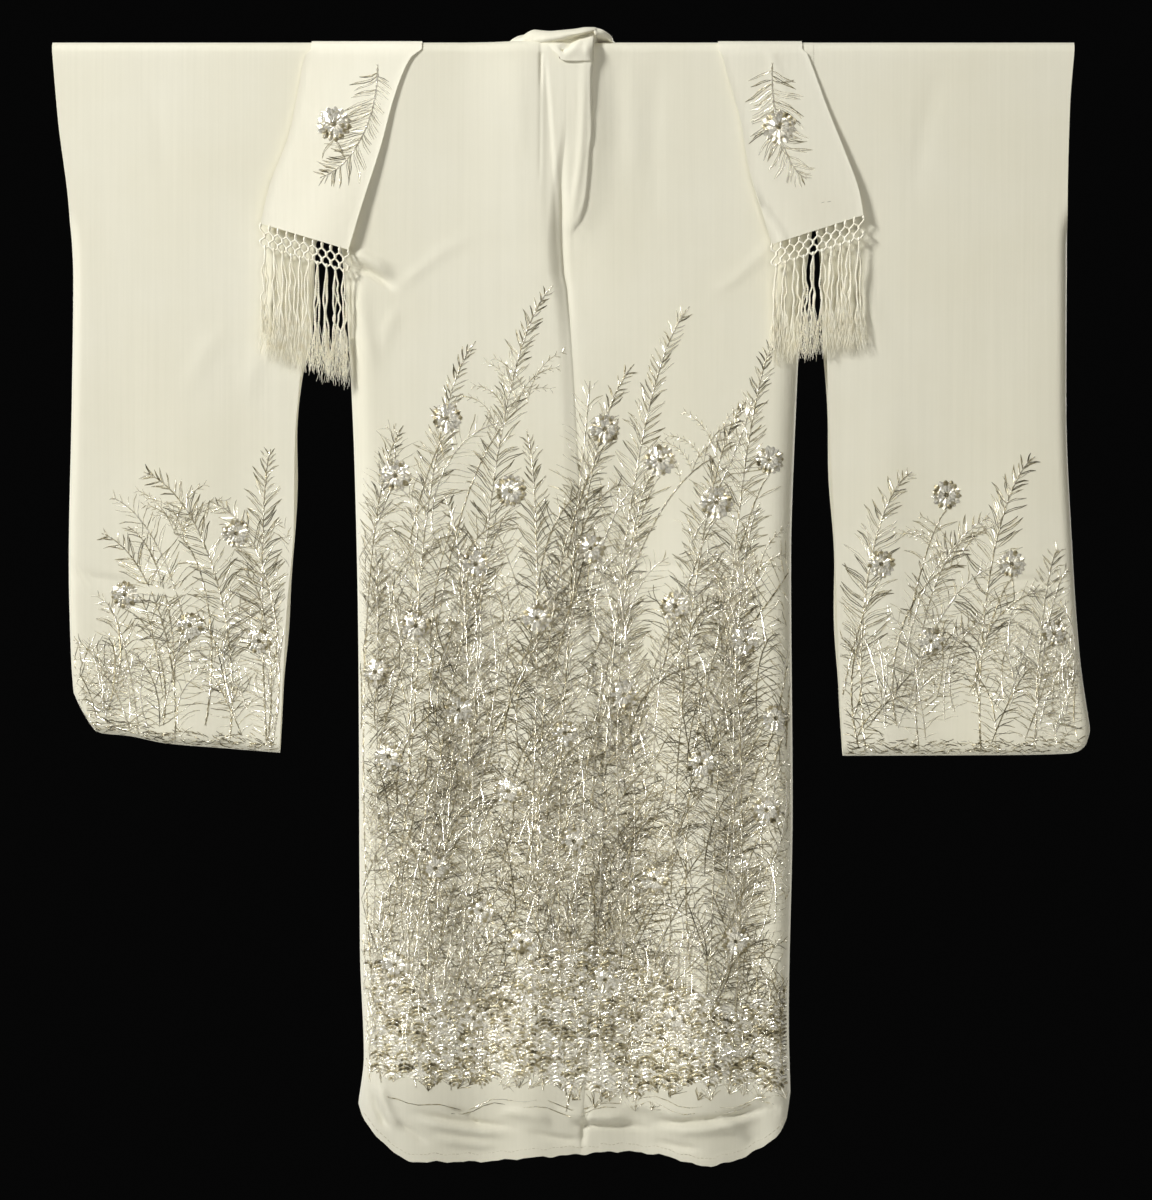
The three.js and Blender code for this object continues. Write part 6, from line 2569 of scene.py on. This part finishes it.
@dataclass
class SashSprig:
    """One sprig with a flower head low on a hanging end of the sash."""

    end: SashEnd
    seed: int

    def surface(self, x: Array, drop: Array) -> Array:
        """The depth of the hanging end.

        Args:
            x: places along the rod.
            drop: their drops.

        Returns:
            the depth at each place.
        """
        along = np.clip(drop / 0.25, 0.0, 1.0)
        for _ in range(6):
            left = self.end.outer_x.at(along)
            right = self.end.inner_x.at(along)
            across = np.clip((x - left) / (right - left), 0.0, 1.0)
            here = lerp(self.end.outer_drop.at(along), self.end.inner_drop.at(along), across)
            along = np.clip(along * drop / np.maximum(here, 1e-4), 1e-3, 1.0)
        return sash_hang(along) + Sash().end_rise(self.end, across, along)

    def inside(self, x: Array, drop: Array) -> Array:
        """Whether a place lies on the hanging end.

        Args:
            x: places along the rod.
            drop: their drops.

        Returns:
            true for each place that does.
        """
        along = np.clip(drop / 0.25, 0.0, 1.0)
        a, b = self.end.outer_x.at(along), self.end.inner_x.at(along)
        return (x > np.minimum(a, b) + 0.004) & (x < np.maximum(a, b) - 0.004) & (drop > 0.012)

    def build(self) -> Piece:
        """Builds the sprig.

        Returns:
            the piece.
        """
        side = self.end.side
        name = f"sprig_{side.name.lower()}"
        work = Needlework(Panel(name, Face.BACK, self.surface, self.inside), self.seed)
        if side is Side.LEFT:
            stem = work.stem((-0.256, 0.030), (-0.330, 0.178), 0.004, 18)
            flower = (-0.312, 0.108)
        else:
            stem = work.stem((0.258, 0.028), (0.302, 0.180), -0.004, 18)
            flower = (0.266, 0.112)
            work.lay(np.array([(0.3215, 0.2110), (0.3250, 0.2100)]), 0.1)
            work.lay(np.array([(0.3290, 0.2098), (0.3335, 0.2092)]), 0.1)
        work.frond(stem, 0.046, 0.0056, Leaf.LENS, 0.82, 0.06)
        work.chrysanthemum(*flower, 0.0235)
        for hand in (-1, 1):
            foot = np.array(flower) + (0.0, 0.020)
            work.leaflet(foot, math.pi + 0.7 * hand, 0.030, -0.5 * hand, Leaf.LENS, 0.6)
        return work.build(f"{name}_silver")


# ---- the studio ----
@dataclass
class Studio:
    """A pale floor, soft light from the left and a camera square to the robe's back."""

    floor_drop: float = 1.90
    floor_reach: float = 1.9
    distance: float = 5.0
    frame_height: float = 1.560
    centre: tuple[float, float] = (0.0026, -0.7127)
    cloth_depth: float = 0.020

    def floor(self, finish: bpy.types.Material) -> None:
        """The floor, well below the hem.

        Args:
            finish: its material.
        """
        ring = [(math.cos(a), math.sin(a)) for a in np.linspace(0, 2 * math.pi, 65)[:-1]]
        points = np.array([(x * self.floor_reach, y * self.floor_reach, -self.floor_drop) for x, y in ring])
        obj = new_mesh("floor", points, [range(len(points))], False)
        obj.data.materials.append(finish)

    def light(
        self, name: str, place: tuple[float, float, float], size: float, power: float, colour: Colour
    ) -> None:
        """One soft square lamp that faces the robe's middle.

        Args:
            name: its name.
            place: where it stands.
            size: its edge.
            power: its power in watts.
            colour: its colour.
        """
        data = bpy.data.lights.new(name, "AREA")
        data.size = size
        data.energy = power
        data.color = colour
        lamp = bpy.data.objects.new(name, data)
        bpy.context.scene.collection.objects.link(lamp)
        lamp.location = place
        aim = np.array([0.0, 0.0, -0.65]) - np.array(place)
        lamp.rotation_mode = "QUATERNION"
        lamp.rotation_quaternion = Vector(aim).to_track_quat("-Z", "Y")

    def camera(self) -> None:
        """The camera, level with the robe's middle."""
        data = bpy.data.cameras.new("camera")
        data.sensor_width = 36.0
        data.lens = 36.0 * self.distance / self.frame_height
        obj = bpy.data.objects.new("camera", data)
        bpy.context.scene.collection.objects.link(obj)
        obj.location = (self.centre[0], -(self.distance + self.cloth_depth), self.centre[1])
        obj.rotation_euler = (math.pi / 2, 0.0, 0.0)
        bpy.context.scene.camera = obj

    def build(self) -> None:
        """Sets everything up."""
        self.floor(StudioPaper().make())
        self.camera()
        self.light("key", (-4.6, -3.2, 3.0), 1.15, 452.0, (1.0, 0.995, 0.985))
        self.light("fill", (1.2, -4.6, -0.3), 2.6, 68.0, (1.0, 0.965, 0.88))
        self.light("top", (0.2, -0.8, 2.4), 1.6, 6.0, (1.0, 1.0, 1.0))
        self.light("front_key", (2.8, 3.2, 0.4), 1.4, 140.0, (1.0, 0.99, 0.97))
        self.light("front_fill", (-2.8, 3.2, -0.4), 2.4, 55.0, (1.0, 0.99, 0.97))
        world = bpy.data.worlds.new("studio")
        world.use_nodes = True
        world.node_tree.nodes["Background"].inputs["Color"].default_value = (0.002, 0.002, 0.002, 1.0)
        bpy.context.scene.world = world
        bpy.context.scene.view_settings.view_transform = "Standard"


def main() -> None:
    """Builds the robe piece by piece, then the studio."""
    logging.basicConfig(level=logging.INFO, format="%(name)s: %(message)s")
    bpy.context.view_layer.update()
    silk = SilkCrepe("robe silk", (0.86, 0.835, 0.70), (0.83, 0.80, 0.65)).make()
    # The sash's right end is painted darker, as painted shade for the light that falls off away from the
    # lamp on the left.
    sash_silk = SilkCrepe("sash silk", (0.99, 0.965, 0.82), (0.96, 0.925, 0.765), painted_right_shade=0.87).make()
    yarn = FringeYarn().make()
    silver = SilverThread().make()

    body = {
        side: dress(BodyLength(side).build(), silk, "silk", f"body_{side.name.lower()}") for side in Side
    }
    sleeves = {
        cut.side: dress(Sleeve(cut).build(), silk, "silk", f"sleeve_{cut.side.name.lower()}")
        for cut in (LEFT_SLEEVE, RIGHT_SLEEVE)
    }
    overlaps = {
        side: dress(Overlap(side).build(), silk, "silk", f"overlap_{side.name.lower()}") for side in Side
    }
    collar = dress(Collar().build(), silk, "silk", "collar")
    sash = dress(Sash().build(), sash_silk, "sash", "sash")
    fringes = [
        dress(Fringe(end, seed).build(), yarn, "fringe", f"sash_fringe_{end.side.name.lower()}")
        for end, seed in ((LEFT_END, 11), (RIGHT_END, 12))
    ]
    dress(Rod().build(), VarnishedWood().make(), "wood", "rod")

    panels = [
        (Panel("back", Face.BACK, back_depth, within_back), BACK_PLAN, -0.285, 0.285),
        (Panel("left_front", Face.FRONT, left_front_surface, within_left_front), FRONT_PLAN, -0.28, 0.145),
        (
            Panel("right_front", Face.FRONT, front_depth(Side.RIGHT), within_right_front),
            RIGHT_FRONT_PLAN, 0.16, 0.28,
        ),
    ]
    growths = ((LEFT_SLEEVE, LEFT_SLEEVE_PLAN, -0.65, -0.385), (RIGHT_SLEEVE, RIGHT_SLEEVE_PLAN, 0.35, 0.66))
    for face in Face:
        for cut, plan, low, high in growths:
            name = f"{cut.side.name.lower()}_sleeve_{face.name.lower()}"
            panels.append((Panel(name, face, sleeve_depth(cut), within_sleeve(cut)), plan, low, high))
    for seed, (panel, plan, low, high) in enumerate(panels, FIRST_PANEL_SEED):
        work = Needlework(panel, seed)
        meadow(work, low, high, plan)
        cuts = (-1.0, 0.008, 1.0) if panel.name == "back" else (-1.0, 1.0)
        [
            dress(work.build(f"{panel.name}_{k + 1}_silver", cuts[k], cuts[k + 1]), silver, "silver_thread")
            for k in range(len(cuts) - 1)
        ]
    sewing = SewingThread().make()
    reach = SIDE_SEAM[Side.RIGHT].at(LEVEL_DROP) - 0.012
    hems = [
        dress(hem_stitches(face, surface, low, high, f"{name}_hem_stitches"), sewing, "silk")
        for name, face, surface, low, high in (
            ("back", Face.BACK, back_depth, -reach, float(reach)),
            ("left_front", Face.FRONT, left_front_surface, -float(reach), 0.136),
        )
    ]
    sprigs = [
        dress(SashSprig(end, seed).build(), silver, "silver_thread")
        for end, seed in ((LEFT_END, 31), (RIGHT_END, 32))
    ]

    for side, sleeve in sleeves.items():
        name = side.name.lower()

    Studio().build()


if __name__ == "__main__":
    main()
